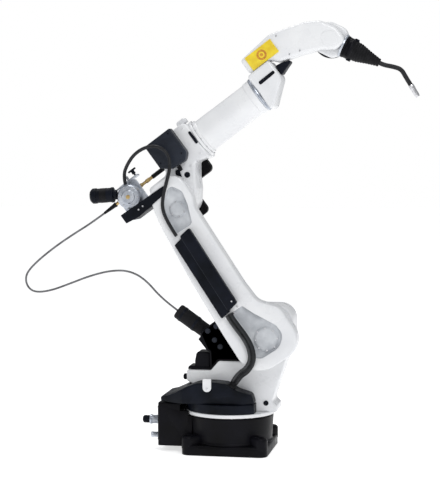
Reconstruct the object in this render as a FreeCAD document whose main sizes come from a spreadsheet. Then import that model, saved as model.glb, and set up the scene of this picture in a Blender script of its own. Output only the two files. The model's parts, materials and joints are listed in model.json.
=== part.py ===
"""Long-reach six-axis welding robot arm, as a parametric FreeCAD document.

Frame: +Z up, +X forward, origin on the turning axis of the turret at the underside of the base.
Four link frames carry the pieces, all seen from -Y: the ground frame, the lower arm's frame with its
origin on the shoulder axis, the forearm's with its origin on the elbow axis, and the torch's with its
origin on the wrist bend axis. A link's sketches use that link's own x and z.
"""
import FreeCAD, Part

import math
import os
import re

import Sketcher
from FreeCAD import Placement, Rotation, Vector

# name, size in mm or degrees, what it is
SIZES = [
    ("gap", 0.3, "running or seating gap between two pieces"),
    ("turn_gap", 5, "free gap between pieces that move past each other"),
    ("base_side", 420, "side of the square base plate"),
    ("base_corner", 42, "corner radius of the base plate"),
    ("base_thick", 50, "thickness of the base plate"),
    ("bolt_spacing", 356, "distance between anchor bolt holes, both ways"),
    ("boss_radius", 31, "radius of the boss round each anchor bolt"),
    ("boss_top", 92, "height of the anchor bolt bosses"),
    ("bolt_hole", 18, "diameter of an anchor bolt hole"),
    ("drum_radius", 213, "radius of the base drum at its top"),
    ("drum_draft", 10, "how much narrower the drum is at its foot"),
    ("drum_top", 180, "height of the base drum"),
    ("rear_back", 341, "distance from the turning axis to the back of the connector box"),
    ("rear_half", 130, "half width of the connector box"),
    ("rear_low", 28, "height of the connector box's underside"),
    ("rear_top", 242, "height of the connector box's top"),
    ("bearing_radius", 130, "radius of the turntable's bearing boss"),
    ("table_radius", 221, "radius of the turntable"),
    ("table_thick", 17, "thickness of the turntable"),
    ("cast_half", 85, "half width of the turret casting"),
    ("foot_sweep", 257, "radius that the turret casting's foot sweeps"),
    ("deck_back", 205, "how far the motor deck reaches behind the turning axis"),
    ("deck_top", 398, "height of the motor deck"),
    ("deck_low", 345, "height of the deck's underside at its tail"),
    ("shelf_top", 446, "height of the shelf that carries the shoulder motor"),
    ("cover_half", 190, "half width of the turret cover"),
    ("cover_back", 328, "how far the turret cover reaches behind the turning axis"),
    ("cover_top", 355, "height of the turret cover's crown"),
    ("shoulder_x", 180, "shoulder axis ahead of the turning axis"),
    ("shoulder_z", 585, "height of the shoulder axis"),
    ("column_hub", 140, "radius of the turret column's head"),
    ("arm_length", 800, "shoulder axis to elbow axis"),
    ("arm_lean", 33.3, "how far the lower arm leans back from upright, degrees"),
    ("arm_thick", 95, "thickness of the lower arm across the joint axes"),
    ("arm_hub", 155, "radius of the lower arm's shoulder end"),
    ("arm_tip", 88, "radius of the lower arm's elbow end"),
    ("arm_back", 147, "back edge of the lower arm, behind the line of its axes"),
    ("arm_front", 65, "front edge of the lower arm, ahead of the line of its axes"),
    ("pocket_deep", 18, "depth of the recesses in the lower arm's near face"),
    ("pocket_rim", 30, "rim left around a recess"),
    ("channel_low", 172, "start of the cable channel along the arm"),
    ("channel_stop", 178, "how far short of the elbow axis the cable channel ends"),
    ("channel_back", 112, "back edge of the cable channel, behind the line of the arm's axes"),
    ("channel_step", 50, "width of the channel cover's lower strip"),
    ("channel_wide", 106, "width of the cable channel cover"),
    ("channel_deep", 32, "height of the channel cover above the arm"),
    ("elbow_half", 90, "half width of the elbow casting"),
    ("elbow_hub", 110, "radius of the elbow casting's round end"),
    ("forearm_tilt", 36.5, "forearm above level, degrees"),
    ("forearm_offset", 155, "forearm axis above the elbow axis"),
    ("head_rise", 107, "top of the elbow casting above the forearm axis"),
    ("housing_half", 88, "half width of the wrist roll housing"),
    ("housing_rise", 97, "top of the wrist roll housing above the forearm axis"),
    ("elbow_front", 250, "front face of the elbow casting, along the forearm"),
    ("tube_radius", 84, "radius of the forearm tube"),
    ("collar_radius", 100, "radius of the collar at the tube's root"),
    ("collar_long", 14, "length of the collar"),
    ("tube_end", 606, "end of the forearm tube, from the elbow axis"),
    ("roll_start", 623, "start of the wrist roll housing"),
    ("roll_end", 757, "end of the wrist roll housing"),
    ("wrist_half", 62, "half width of the wrist arm"),
    ("bend_along", 1049, "wrist bend axis, along the forearm"),
    ("cheek_radius", 58, "radius of the wrist arm's cheek"),
    ("head_radius", 79, "radius of the wrist head"),
    ("head_sweep", 95, "free radius that the wrist head turns in"),
    ("face_along", 70, "tool flange face, from the bend axis"),
    ("head_near", 12, "near face of the wrist head, from the mid plane"),
    ("head_far", 56, "far face of the wrist head, from the mid plane"),
    ("torch_tilt", 26, "torch axis below level, degrees"),
    ("sensor_radius", 54, "radius of the collision sensor"),
    ("sensor_end", 112, "front of the collision sensor, from the bend axis"),
    ("boot_end", 256, "front of the torch's rubber boot"),
    ("neck_radius", 11, "radius of the torch neck"),
    ("box_face", 150, "distance of the elbow box's near face from the mid plane"),
    ("wire_height", 150, "wire line above the elbow axis, across the forearm"),
    ("plate_low", 78, "foot of the feeder plate below the wire line"),
    ("plate_rise", 46, "top of the feeder plate above the wire line"),
    ("plate_thick", 8, "thickness of the feeder plate"),
    ("plate_side", 28, "distance of the feeder plate from the mid plane"),
    ("gearbox_radius", 60, "radius of the wire feeder's gearbox"),
    ("feed_motor_radius", 38, "radius of the wire feeder's motor"),
    ("feed_motor_long", 118, "length of the wire feeder's motor"),
    ("roller_radius", 17, "radius of a feed roller"),
    ("sleeve_radius", 38, "radius of the conduit sleeve"),
    ("sleeve_long", 172, "length of the conduit sleeve"),
    ("conduit_radius", 5, "radius of the wire conduit"),
    ("cable_radius", 9, "radius of the feeder's control cable"),
    ("bundle_radius", 17, "radius of the hose bundle"),
    ("gland_radius", 22, "radius of the gland on the turret cover"),
    ("gland_long", 26, "height of the gland on the turret cover"),
    ("gland_side", 165, "distance of the gland from the mid plane"),
    ("slope_back", 8, "top of the turret cover's front slope, ahead of the turning axis"),
    ("slope_front", 60, "foot of the turret cover's front slope, ahead of the turning axis"),
    ("slope_drop", 31, "drop of the turret cover's front slope"),
    ("sleeve_x", -266, "mouth of the conduit sleeve, ahead of the turning axis"),
    ("sleeve_z", 680, "height of the conduit sleeve's mouth"),
    ("sleeve_tilt", 35, "slope of the conduit sleeve, degrees"),
]

doc = FreeCAD.newDocument("welding_arm")
sheet = doc.addObject("Spreadsheet::Sheet", "Sizes")
for row, (alias, number, words) in enumerate(SIZES, start=1):
    sheet.set(f"A{row}", words)
    sheet.set(f"B{row}", str(number))
    sheet.setAlias(f"B{row}", alias)
doc.recompute()
ALIASES = {alias for alias, number, words in SIZES}


def bound(formula):
    """Turn a formula in the sheet's own names into a FreeCAD expression."""
    return re.sub(r"[a-z_]+", lambda found: f"Sizes.{found[0]}" if found[0] in ALIASES else found[0],
                  str(formula))


def number_of(formula):
    """The present value of a formula in the sheet's names."""
    return float(sheet.evalExpression(bound(formula)))


class Link:
    """A link's frame: its origin in the ground frame and its turn about Y, as formulas."""

    def __init__(self, x, z, turn):
        self.x = x
        self.z = z
        self.turn = turn

    def place(self, thing):
        thing.Placement = Placement(Vector(), Rotation(Vector(0, 1, 0), 10))
        thing.setExpression("Placement.Base.x", bound(self.x))
        thing.setExpression("Placement.Base.z", bound(self.z))
        thing.setExpression("Placement.Rotation.Angle", bound(self.turn))

    def at(self, along, up, tilt):
        """A frame on this link at (along, up), whose x axis is tilted up by tilt degrees."""
        x = f"{self.x} + ({along}) * cos({self.turn}) + ({up}) * sin({self.turn})"
        z = f"{self.z} - ({along}) * sin({self.turn}) + ({up}) * cos({self.turn})"
        return Link(x, z, f"{self.turn} - ({tilt})")

    def point(self, along, across, up):
        """A point of this link in ground coordinates, in mm."""
        turn = math.radians(number_of(self.turn))
        x = number_of(self.x) + along * math.cos(turn) + up * math.sin(turn)
        z = number_of(self.z) - along * math.sin(turn) + up * math.cos(turn)
        return Vector(x, across, z)


GROUND = Link("0", "0", "0")
ARM = Link("shoulder_x", "shoulder_z", "-arm_lean")
FOREARM = Link("shoulder_x - arm_length * sin(arm_lean)", "shoulder_z + arm_length * cos(arm_lean)",
               "-forearm_tilt")
TORCH = FOREARM.at("bend_along", "forearm_offset", "-forearm_tilt - torch_tilt")
SLEEVE = Link("sleeve_x", "sleeve_z", "sleeve_tilt")
GLAND = Link("(slope_back + slope_front) / 2", "cover_top - 6 - slope_drop / 2",
             "atan(slope_drop / (slope_front - slope_back))")

# For each sketch plane: does a pad have to be reversed to grow along the plane's positive world axis,
# and the sign of the sketch's offset along it. XZ_Plane faces -Y.
PLANES = {"XY_Plane": (False, ""), "XZ_Plane": (True, "-"), "YZ_Plane": (False, "")}

subparts = []


def circle(u, v, radius):
    return ("circle", u, v, radius)


def box_outline(u_low, u_high, v_low, v_high):
    return [(u_low, v_low), (u_high, v_low), (u_high, v_high), (u_low, v_high)]


class Piece:
    """One sub-part: a body in a link's frame, made of pads and cuts along that frame's axes."""

    def __init__(self, name, link=GROUND):
        self.body = doc.addObject("PartDesign::Body", name)
        self.body.Label = name
        link.place(self.body)
        subparts.append(self.body)

    def sketch(self, plane, outline, start):
        sketch = self.body.newObject("Sketcher::SketchObject", self.body.Label + "_sketch")
        origin = [item for item in self.body.Origin.OriginFeatures if item.Role == plane][0]
        sketch.AttachmentSupport = [(origin, "")]
        sketch.MapMode = "FlatFace"
        sketch.setExpression("AttachmentOffset.Base.z", f"{PLANES[plane][1]}({bound(start)})")
        if outline[0] == "circle":
            self.draw_circle(sketch, *outline[1:])
        else:
            self.draw_polygon(sketch, outline)
        doc.recompute()
        return sketch

    def draw_circle(self, sketch, u, v, radius):
        centre = Vector(number_of(u), number_of(v), 0)
        sketch.addGeometry(Part.Circle(centre, Vector(0, 0, 1), number_of(radius)), False)
        self.pin(sketch, "DistanceX", (0, 3), u)
        self.pin(sketch, "DistanceY", (0, 3), v)
        index = sketch.addConstraint(Sketcher.Constraint("Radius", 0, number_of(radius)))
        sketch.setExpression(f"Constraints[{index}]", bound(radius))

    def draw_polygon(self, sketch, outline):
        corners = [Vector(number_of(u), number_of(v), 0) for u, v in outline]
        count = len(corners)
        for index in range(count):
            side = Part.LineSegment(corners[index], corners[(index + 1) % count])
            sketch.addGeometry(side, False)
        for index in range(count):
            sketch.addConstraint(Sketcher.Constraint("Coincident", index, 2, (index + 1) % count, 1))
        for index, (u, v) in enumerate(outline):
            self.pin(sketch, "DistanceX", (index, 1), u)
            self.pin(sketch, "DistanceY", (index, 1), v)

    def pin(self, sketch, kind, point, formula):
        """Hold one point of the sketch at a distance from the sketch's own origin."""
        index = sketch.addConstraint(Sketcher.Constraint(kind, -1, 1, *point, number_of(formula)))
        sketch.setExpression(f"Constraints[{index}]", bound(formula))

    def pad(self, plane, outline, start, end):
        feature = self.body.newObject("PartDesign::Pad", self.body.Label + "_pad")
        feature.Profile = self.sketch(plane, outline, start)
        feature.setExpression("Length", bound(f"({end}) - ({start})"))
        feature.Reversed = PLANES[plane][0]
        doc.recompute()
        return self

    def cut(self, plane, outline, start, end):
        before = self.body.Shape.Volume
        feature = self.body.newObject("PartDesign::Pocket", self.body.Label + "_pocket")
        feature.Profile = self.sketch(plane, outline, start)
        feature.setExpression("Length", bound(f"({end}) - ({start})"))
        feature.Reversed = not PLANES[plane][0]
        doc.recompute()
        if self.body.Shape.Volume >= before:
            raise RuntimeError(f"a pocket in {self.body.Label} cuts nothing")
        return self

    def turned(self, axis, outline):
        """A solid of revolution about the body's own X or Z axis, from an outline in its XZ plane."""
        feature = self.body.newObject("PartDesign::Revolution", self.body.Label + "_turned")
        feature.Profile = self.sketch("XZ_Plane", outline, "0")
        line = [item for item in self.body.Origin.OriginFeatures if item.Role == axis][0]
        feature.ReferenceAxis = (line, [""])
        feature.Angle = 360
        doc.recompute()
        return self

    def rounded(self, radius, along):
        """Round the straight edges that run along one of the body's axes."""
        tip = self.body.Tip
        names = []
        for index, edge in enumerate(tip.Shape.Edges, start=1):
            if edge.Curve.TypeId == "Part::GeomLine" and abs(edge.Curve.Direction.dot(along)) > 0.99:
                names.append(f"Edge{index}")
        feature = self.body.newObject("PartDesign::Fillet", self.body.Label + "_edges")
        feature.Base = (tip, names)
        feature.setExpression("Radius", bound(radius))
        doc.recompute()
        return self


Y_WAY = Vector(0, 1, 0)
Z_WAY = Vector(0, 0, 1)


def rod(name, link, plane, u, v, radius, start, end):
    """A plain round piece along one axis of a link."""
    return Piece(name, link).pad(plane, circle(u, v, radius), start, end)


def tube(name, radius, points, report=True):
    """A bent round piece: straight runs joined by tangent arcs as large as the runs allow."""
    size = number_of(radius)
    edges = []
    radii = []
    start = points[0]
    for before, corner, after in zip(points, points[1:], points[2:]):
        come = (corner - before).normalize()
        leave = (after - corner).normalize()
        half_turn = come.getAngle(leave) / 2
        reach = 0.45 * min((corner - before).Length, (after - corner).Length)
        radii.append(reach / math.tan(half_turn))
        first = corner - come * reach
        last = corner + leave * reach
        inward = (leave - come).normalize()
        middle = corner + inward * (radii[-1] / math.cos(half_turn) - radii[-1])
        edges.append(Part.LineSegment(start, first).toShape())
        edges.append(Part.Arc(first, middle, last).toShape())
        start = last
    edges.append(Part.LineSegment(start, points[-1]).toShape())
    path = Part.Wire(edges)
    ring = Part.Wire(Part.Circle(points[0], points[1] - points[0], size).toShape())
    solid = path.makePipeShell([ring], True, True)
    expected = math.pi * size ** 2 * path.Length
    if abs(solid.Volume / expected - 1) > 0.01:
        raise RuntimeError(f"{name} isn't a clean tube: {solid.Volume:.0f} for {expected:.0f}")
    if report:
        print(f"{name}: {path.Length:.0f} mm long, bends {[round(bend) for bend in radii]} mm")
    feature = doc.addObject("Part::Feature", name)
    feature.Label = name
    feature.Shape = solid
    feature.Placement = Placement()
    subparts.append(feature)
    return feature


# ---------------------------------------------------------------- base
def make_base():
    half = "base_side / 2"
    plate = Piece("base_plate")
    plate.pad("XY_Plane", box_outline(f"-{half}", half, f"-{half}", half), "0", "base_thick")
    plate.rounded("base_corner", Z_WAY)
    for x_side in ("-", ""):
        for y_side in ("-", ""):
            corner = (f"{x_side}bolt_spacing / 2", f"{y_side}bolt_spacing / 2")
            plate.pad("XY_Plane", circle(*corner, "boss_radius"), "base_thick - 5", "boss_top")
            plate.cut("XY_Plane", circle(*corner, "bolt_hole / 2"), "-1", "boss_top + 1")

    drum = Piece("base_drum")
    drum.turned("Z_Axis", [("0", "base_thick"), ("drum_radius - drum_draft", "base_thick"),
                           ("drum_radius", "drum_top"), ("0", "drum_top")])

    box = Piece("connector_box")
    box.pad("XY_Plane", box_outline("-rear_back", "-120", "-rear_half", "rear_half"),
            "rear_low", "rear_top")
    box.rounded("12", Z_WAY)
    box.cut("XY_Plane", box_outline(f"-{half} - gap", "0", "-rear_half - 1", "rear_half + 1"),
            "0", "base_thick + gap")
    box.cut("XY_Plane", circle("0", "0", "drum_radius + gap"), "0", "rear_top + 1")
    box.cut("XY_Plane", circle("0", "0", "table_radius + turn_gap + 2"), "drum_top - 1", "rear_top + 1")
    box.cut("XY_Plane", circle("0", "0", "foot_sweep + turn_gap + 2"), "drum_top + table_thick",
            "rear_top + 1")

    rod("power_socket", GROUND, "YZ_Plane", "-45", "142", "26", "-rear_back - 55", "-rear_back")
    plug = Piece("power_plug")
    plug.pad("YZ_Plane", circle("-45", "142", "20"), "-rear_back - 92", "-rear_back - 55")
    rod("signal_socket", GROUND, "YZ_Plane", "-45", "66", "17", "-rear_back - 50", "-rear_back")


# ---------------------------------------------------------------- turret
TABLE_LOW = "drum_top + turn_gap + 1"
TABLE_TOP = f"{TABLE_LOW} + table_thick"
COVER_LOW = f"{TABLE_TOP} + gap"
# the lower arm stands beside the turret and the elbow, whichever is the wider
ARM_FAR = "-(max(cast_half + turn_gap; elbow_half) + turn_gap)"
ARM_NEAR = f"{ARM_FAR} - arm_thick"


def make_turret():
    table = Piece("turntable")
    table.pad("XY_Plane", circle("0", "0", "table_radius"), TABLE_LOW, TABLE_TOP)
    table.pad("XY_Plane", circle("0", "0", "bearing_radius"), "drum_top + gap", TABLE_LOW)

    casting = Piece("turret_casting")
    foot_front = "pow(foot_sweep ^ 2 - cast_half ^ 2; 0.5)"
    casting.pad("XZ_Plane", [
        ("-150", TABLE_TOP), (foot_front, TABLE_TOP), (foot_front, f"{TABLE_TOP} + 29"),
        ("shoulder_x + 36", f"{TABLE_TOP} + 49"),
        ("shoulder_x + 132", "shoulder_z - 48"), ("shoulder_x", "shoulder_z"),
        ("shoulder_x - 113", "shoulder_z - 82"), ("70", "shelf_top"), ("-45", "shelf_top"),
        ("-85", "deck_top"), ("-deck_back", "deck_top"), ("-deck_back", "deck_low"),
        ("-150", "deck_low - 25")],
        "-cast_half", "cast_half")
    casting.pad("XZ_Plane", circle("shoulder_x", "shoulder_z", "column_hub"), "-cast_half", "cast_half")

    make_turret_cover()
    rod("shoulder_reducer", ARM, "XZ_Plane", "0", "0", "105", f"{ARM_FAR} + gap", "-cast_half")
    rod("foot_plug", GROUND, "XZ_Plane", "shoulder_x + 9", f"{TABLE_TOP} + 43", "12.5",
        "-cast_half - 4", "-cast_half")

    motor = Piece("turn_motor")
    motor.pad("XY_Plane", box_outline("-172", "-92", "-55", "55"), "deck_top", "deck_top + 86")
    motor.rounded("10", Z_WAY)
    motor.pad("XZ_Plane", box_outline("-202", "-171", "deck_top", "deck_top + 17"), "-30", "30")

    end_x = "sleeve_x + (sleeve_long + gap) * cos(sleeve_tilt)"
    end_z = "sleeve_z - (sleeve_long + gap) * sin(sleeve_tilt)"
    rise = "sleeve_radius * cos(sleeve_tilt)"
    shift = "sleeve_radius * sin(sleeve_tilt)"
    bracket = Piece("shoulder_motor_bracket")
    bracket.pad("XZ_Plane", [
        ("-46", "shelf_top + gap"), ("66", "shelf_top + gap"), ("66", "shelf_top + 24"),
        ("-42", "shelf_top + 202"), ("-60", "shelf_top + 198"),
        (f"{end_x} + {shift}", f"{end_z} + {rise}"), (f"{end_x} - {shift}", f"{end_z} - {rise}"),
        ("-104", "deck_top + 98"), ("-91", "deck_top + 90"), ("-87", "deck_top + gap")], "-80", "-15")
    bracket.pad("XZ_Plane", box_outline("-44", "28", "shelf_top + gap", "shelf_top + 12"), "-30", "60")
    servo = Piece("shoulder_motor")
    servo.pad("XZ_Plane", box_outline("-88", "26", "shelf_top + 26", "shelf_top + 144"),
              "-15 + gap", "110")
    servo.rounded("14", Y_WAY)
    servo.pad("XZ_Plane", circle("-31", "shelf_top + 85", "46"), "110", "160")
    rod("conduit_sleeve", SLEEVE, "YZ_Plane", "0", "0", "sleeve_radius", "0", "sleeve_long")


def make_turret_cover():
    """The black cover round the casting's tail: a U in plan, domed on top, round at the front."""
    cover = Piece("turret_cover")
    cover.pad("XZ_Plane", [
        ("-cover_back", "cover_top - 72"), ("-290", "cover_top - 67"), ("-250", "cover_top - 52"),
        ("-194", "cover_top - 23"), ("-140", "cover_top - 5"), ("-66", "cover_top"), ("slope_back", "cover_top - 6"),
        ("slope_front", "cover_top - 6 - slope_drop"),
        ("128", "cover_top - 58"), ("142", "rear_top + turn_gap"), ("-cover_back", "rear_top + turn_gap")],
        "-cover_half", "cover_half")
    cover.pad("XY_Plane", circle("0", "0", "table_radius - 3"), COVER_LOW, "rear_top + turn_gap")
    cover.cut("XY_Plane", box_outline("142", "table_radius", "-table_radius", "table_radius"), "200", "400")
    # the plan view: corners cut back to the turntable's round edge
    for side in ("-", ""):
        far = f"{side}(cover_half + 1)"
        cover.cut("XY_Plane", [("70", far), ("145", far), ("145", f"{side}150")], "200", "400")
        cover.cut("XY_Plane", [("-cover_back - 1", far), ("-cover_back - 1", f"{side}120"),
                               ("-210", far)], "200", "400")
    cover.cut("XY_Plane", box_outline("-deck_back - gap", "145", "-cast_half - gap", "cast_half + gap"),
              "200", "400")
    rod("cover_gland", GLAND, "XY_Plane", "0", "-gland_side", "gland_radius", "gap", "gland_long")
    tab = Piece("cover_tab")
    tab.pad("XZ_Plane", box_outline("-104", "-62", "cover_top - 25", "cover_top + 19"),
            "-cover_half - 5", "-cover_half - gap")
    tab.pad("XZ_Plane", circle("-83", "cover_top - 25", "21"), "-cover_half - 5", "-cover_half - gap")


# ---------------------------------------------------------------- lower arm
def make_lower_arm():
    arm = Piece("lower_arm", ARM)
    arm.pad("XZ_Plane", [
        ("-arm_back", "-10"), ("arm_hub * 0.93", "70"), ("arm_front + 8", "150"), ("arm_front", "260"),
        ("arm_front", "arm_length - 110"), ("arm_tip * 0.9", "arm_length - 60"),
        ("arm_tip * 0.5", "arm_length + arm_tip * 0.8"), ("-arm_tip * 0.5", "arm_length + arm_tip * 0.8"),
        ("-arm_tip * 0.9", "arm_length + 30"), ("-arm_tip * 1.27", "arm_length - 15"), ("-arm_back + 22", "arm_length - 90"),
        ("-arm_back", "400"), ("-arm_back", "170")], ARM_NEAR, ARM_FAR)
    arm.pad("XZ_Plane", circle("0", "0", "arm_hub"), ARM_NEAR, ARM_FAR)
    arm.pad("XZ_Plane", circle("0", "arm_length", "arm_tip"), ARM_NEAR, ARM_FAR)
    floor = f"{ARM_NEAR} + pocket_deep"
    arm.cut("XZ_Plane", [
        ("-60", "20"), ("60", "-95"), ("112", "-20"), ("100", "60"), ("40", "165"), ("-60", "165")],
        f"{ARM_NEAR} - 1", floor)
    arm.cut("XZ_Plane", [
        ("-88", "arm_length - 160"), ("14", "arm_length - 160"), ("46", "arm_length - 75"),
        ("56", "arm_length - 8"), ("20", "arm_length + 42"), ("-56", "arm_length - 14")],
        f"{ARM_NEAR} - 1", floor)

    channel = Piece("cable_channel", ARM)
    high = "arm_length - channel_stop"
    channel.pad("XZ_Plane", box_outline("-channel_back", "channel_wide - channel_back", "channel_low", high),
                f"{ARM_NEAR} - channel_deep", f"{ARM_NEAR} - gap")
    channel.cut("XZ_Plane", box_outline("-channel_back - 1", "channel_step - channel_back",
                                        "channel_low - 1", f"{high} + 1"),
                f"{ARM_NEAR} - channel_deep - 1", f"{ARM_NEAR} - channel_deep + 7")
    rod("elbow_reducer", FOREARM, "XZ_Plane", "0", "0", "88", f"{ARM_FAR} + gap", "-elbow_half")


# ---------------------------------------------------------------- elbow and forearm
def make_elbow():
    casting = Piece("elbow_casting", FOREARM)
    casting.pad("XZ_Plane", [
        ("-elbow_hub * 0.98", "20"), ("elbow_hub * 0.8", "-elbow_hub * 0.6"), ("133", "14"),
        ("elbow_front - 74", "forearm_offset - 80"), ("elbow_front - 38", "forearm_offset - 94"),
        ("elbow_front", "forearm_offset - 104"),
        ("elbow_front", "forearm_offset + head_rise"), ("40", "forearm_offset + head_rise"),
        ("25", "105"), ("-90", "104")],
        "-elbow_half", "elbow_half")
    casting.pad("XZ_Plane", circle("0", "0", "elbow_hub"), "-elbow_half", "elbow_half")

    plug = ("elbow_front - 143", "45")
    casting.cut("XZ_Plane", circle(*plug, "14 + gap"), "-elbow_half - 1", "-elbow_half + 8")

    collar = Piece("tube_collar", FOREARM)
    collar.pad("YZ_Plane", circle("0", "forearm_offset", "collar_radius"), "elbow_front + gap",
               "elbow_front + collar_long")
    rod("forearm_tube", FOREARM, "YZ_Plane", "0", "forearm_offset", "tube_radius",
        "elbow_front + collar_long + gap", "tube_end")
    rod("roll_ring", FOREARM, "YZ_Plane", "0", "forearm_offset", "tube_radius + 8",
        "tube_end + gap", "roll_start - gap")
    lug = Piece("lifting_lug", FOREARM)
    lug_foot = "forearm_offset + head_rise + gap"
    lug.pad("XZ_Plane", box_outline("elbow_front - 54", "elbow_front", lug_foot, f"{lug_foot} + 27.7"),
            "-20", "20")
    lug.rounded("12", Y_WAY)

    slot = Piece("slot_cover", FOREARM)
    slot.pad("XZ_Plane", box_outline("elbow_front - 18", "elbow_front - 4", "forearm_offset - 17",
                                     "forearm_offset + 53"), "-elbow_half - 5", "-elbow_half - gap")
    slot.rounded("6", Y_WAY)
    rod("elbow_plug", FOREARM, "XZ_Plane", *plug, "14", "-elbow_half", "-elbow_half + 8 - gap")

    box = Piece("elbow_box", FOREARM)
    box.pad("XZ_Plane", [
        ("27", "forearm_offset - 13"), ("70", "forearm_offset - 47"), ("150", "forearm_offset - 55"),
        ("180", "forearm_offset - 27"), ("180", "forearm_offset + 117"), ("27", "forearm_offset + 117")],
        "-box_face", "-elbow_half - gap")
    rod("elbow_motor", FOREARM, "XZ_Plane", "9", "-92", "54", "elbow_half + gap", "elbow_half + 92")
    rod("roll_motor", FOREARM, "XZ_Plane", "139", "54", "61", "elbow_half + gap", "elbow_half + 100")


def make_feeder():
    foot = "wire_height - plate_low"
    top = "wire_height + plate_rise"
    near = "-plate_side - plate_thick"
    bracket = Piece("feeder_bracket", FOREARM)
    bracket.pad("XZ_Plane", [("-262", f"{foot} - 47"), ("-elbow_hub + 2.4", f"{foot} - 47"),
                             ("-elbow_hub + 12.7", f"{foot} - gap"), ("-262", f"{foot} - gap")],
                "-88", "50")

    plate = Piece("feeder_plate", FOREARM)
    plate.pad("XZ_Plane", box_outline("-258", "-elbow_hub + 15", foot, top), near, "-plate_side")
    plate.rounded("14", Y_WAY)
    gearbox = Piece("feeder_gearbox", FOREARM)
    gearbox.pad("XZ_Plane", circle("-194", "wire_height - 18", "gearbox_radius"), f"{near} - 64", near)
    motor_link = FOREARM.at("-194", "wire_height", "147.6")
    motor = Piece("feeder_motor", motor_link)
    motor.pad("YZ_Plane", circle("-76", "0", "24"), "gearbox_radius - 9.3", "gearbox_radius + 6")
    motor.pad("YZ_Plane", circle("-76", "0", "feed_motor_radius"), "gearbox_radius + 6",
              "gearbox_radius + 6 + feed_motor_long")

    rollers = Piece("drive_rollers", FOREARM)
    rollers.pad("XZ_Plane", box_outline("-246", "-132", "wire_height - 1.5 * roller_radius",
                                        "wire_height - 0.5 * roller_radius"), "-plate_side", "-14")
    for along in ("-216", "-160"):
        for side in ("-", "+"):
            height = f"wire_height {side} (roller_radius + 1)"
            rollers.pad("XZ_Plane", circle(along, height, "5"), "-plate_side", "-7")
            rollers.pad("XZ_Plane", circle(along, height, "roller_radius"), "-7", "7")
    arm = Piece("pressure_arm", FOREARM)
    arm.pad("XZ_Plane", box_outline("-240", "-104", f"{top} + gap", f"{top} + 10"), near, "8")
    knob = Piece("tension_knob", FOREARM)
    knob.pad("XY_Plane", circle("-118", "-14", "5"), f"{top} + 10", f"{top} + 20")
    knob.pad("XY_Plane", circle("-118", "-14", "10"), f"{top} + 20", f"{top} + 42")
    rod("inlet_fitting", FOREARM, "YZ_Plane", "0", "wire_height", "11", "-285", "-238")
    relief = Piece("conduit_relief", FOREARM.at("0", "wire_height", "0"))
    relief.turned("X_Axis", [("-285 - gap", "0"), ("-285 - gap", "12"), ("-300", "11"), ("-360", "7"),
                             ("-360", "0")])
    rod("outlet_fitting", FOREARM, "YZ_Plane", "0", "wire_height", "10", "-138", "-56")
    rod("outlet_boot", FOREARM, "YZ_Plane", "0", "wire_height", "11.5", "-56", "27.9")


# ---------------------------------------------------------------- wrist
def make_wrist():
    half = "wrist_half"
    top = "forearm_offset + housing_rise"
    housing = Piece("roll_housing", FOREARM)
    housing.pad("XZ_Plane", [
        ("roll_start", "forearm_offset - 95"), ("roll_start + 22", "forearm_offset - 99"),
        ("roll_end", "forearm_offset - 5"), ("roll_end", top), ("roll_start", top)],
        "-housing_half", "housing_half")
    slot = Piece("housing_slot", FOREARM)
    slot.pad("XZ_Plane", box_outline("roll_start + 29", "roll_end - 12", "forearm_offset + 23",
                                     "forearm_offset + 43"), "-housing_half - 4", "-housing_half - gap")
    slot.rounded("8", Y_WAY)

    arm = Piece("wrist_arm", FOREARM)
    arm.pad("XZ_Plane", [
        ("roll_start + 16", f"{top} + gap"), ("roll_end", f"{top} + gap"),
        ("roll_end + 33", "forearm_offset + 59"), ("bend_along - 144", "forearm_offset + 24"),
        ("bend_along - 81", "forearm_offset + 5"), ("bend_along", "forearm_offset"),
        ("bend_along + 23", "forearm_offset + 55"), ("bend_along + 11", "forearm_offset + 103"),
        ("bend_along - 57", "forearm_offset + 143"), ("bend_along - 180", "forearm_offset + 184"),
        ("roll_end + 67", "forearm_offset + 197"), ("roll_start + 16", "forearm_offset + 181")],
        f"-{half}", half)
    inner = "-head_near - turn_gap"
    arm.cut("XZ_Plane", circle("bend_along", "forearm_offset", "head_sweep"), inner, f"{half} + 1")
    arm.pad("XZ_Plane", circle("bend_along", "forearm_offset", "cheek_radius"), f"-{half}", inner)
    label = Piece("label_plate", FOREARM)
    label.pad("XZ_Plane", box_outline("roll_start + 41", "roll_end + 61", "forearm_offset + 101",
                                      "forearm_offset + 175"), f"-{half} - 6", f"-{half} - gap")

    head = Piece("wrist_head", TORCH)
    head.pad("XZ_Plane", circle("0", "0", "head_radius"), "-head_near", "head_far")
    head.pad("XZ_Plane", box_outline("0", "face_along - 6", "-58", "54"), "-head_near", "head_far")
    head.cut("XZ_Plane", box_outline("face_along - 6", "100", "-100", "100"),
             "-head_near - 1", "head_far + 1")
    head.pad("XZ_Plane", circle("0", "0", "cheek_radius - 18"), f"{inner} + gap", "-head_near")
    head.pad("YZ_Plane", circle("0", "0", "sensor_radius + 3"), "face_along - 6", "face_along")
    sensor = Piece("collision_sensor", TORCH)
    sensor.pad("YZ_Plane", circle("0", "0", "sensor_radius"), "face_along + gap", "sensor_end")
    boot = Piece("torch_boot", TORCH)
    boot.turned("X_Axis", [("sensor_end", "0"), ("sensor_end", "sensor_radius - 2"),
                           ("150", "sensor_radius - 4"), ("200", "34"), ("boot_end", "20"),
                           ("boot_end", "0")])


# the torch neck's line, along and above the torch axis
NECK_ROUTE = [(256.3, 0), (280, 0), (322, 12), (364, 18), (400, -7), (437, -30)]


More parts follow.
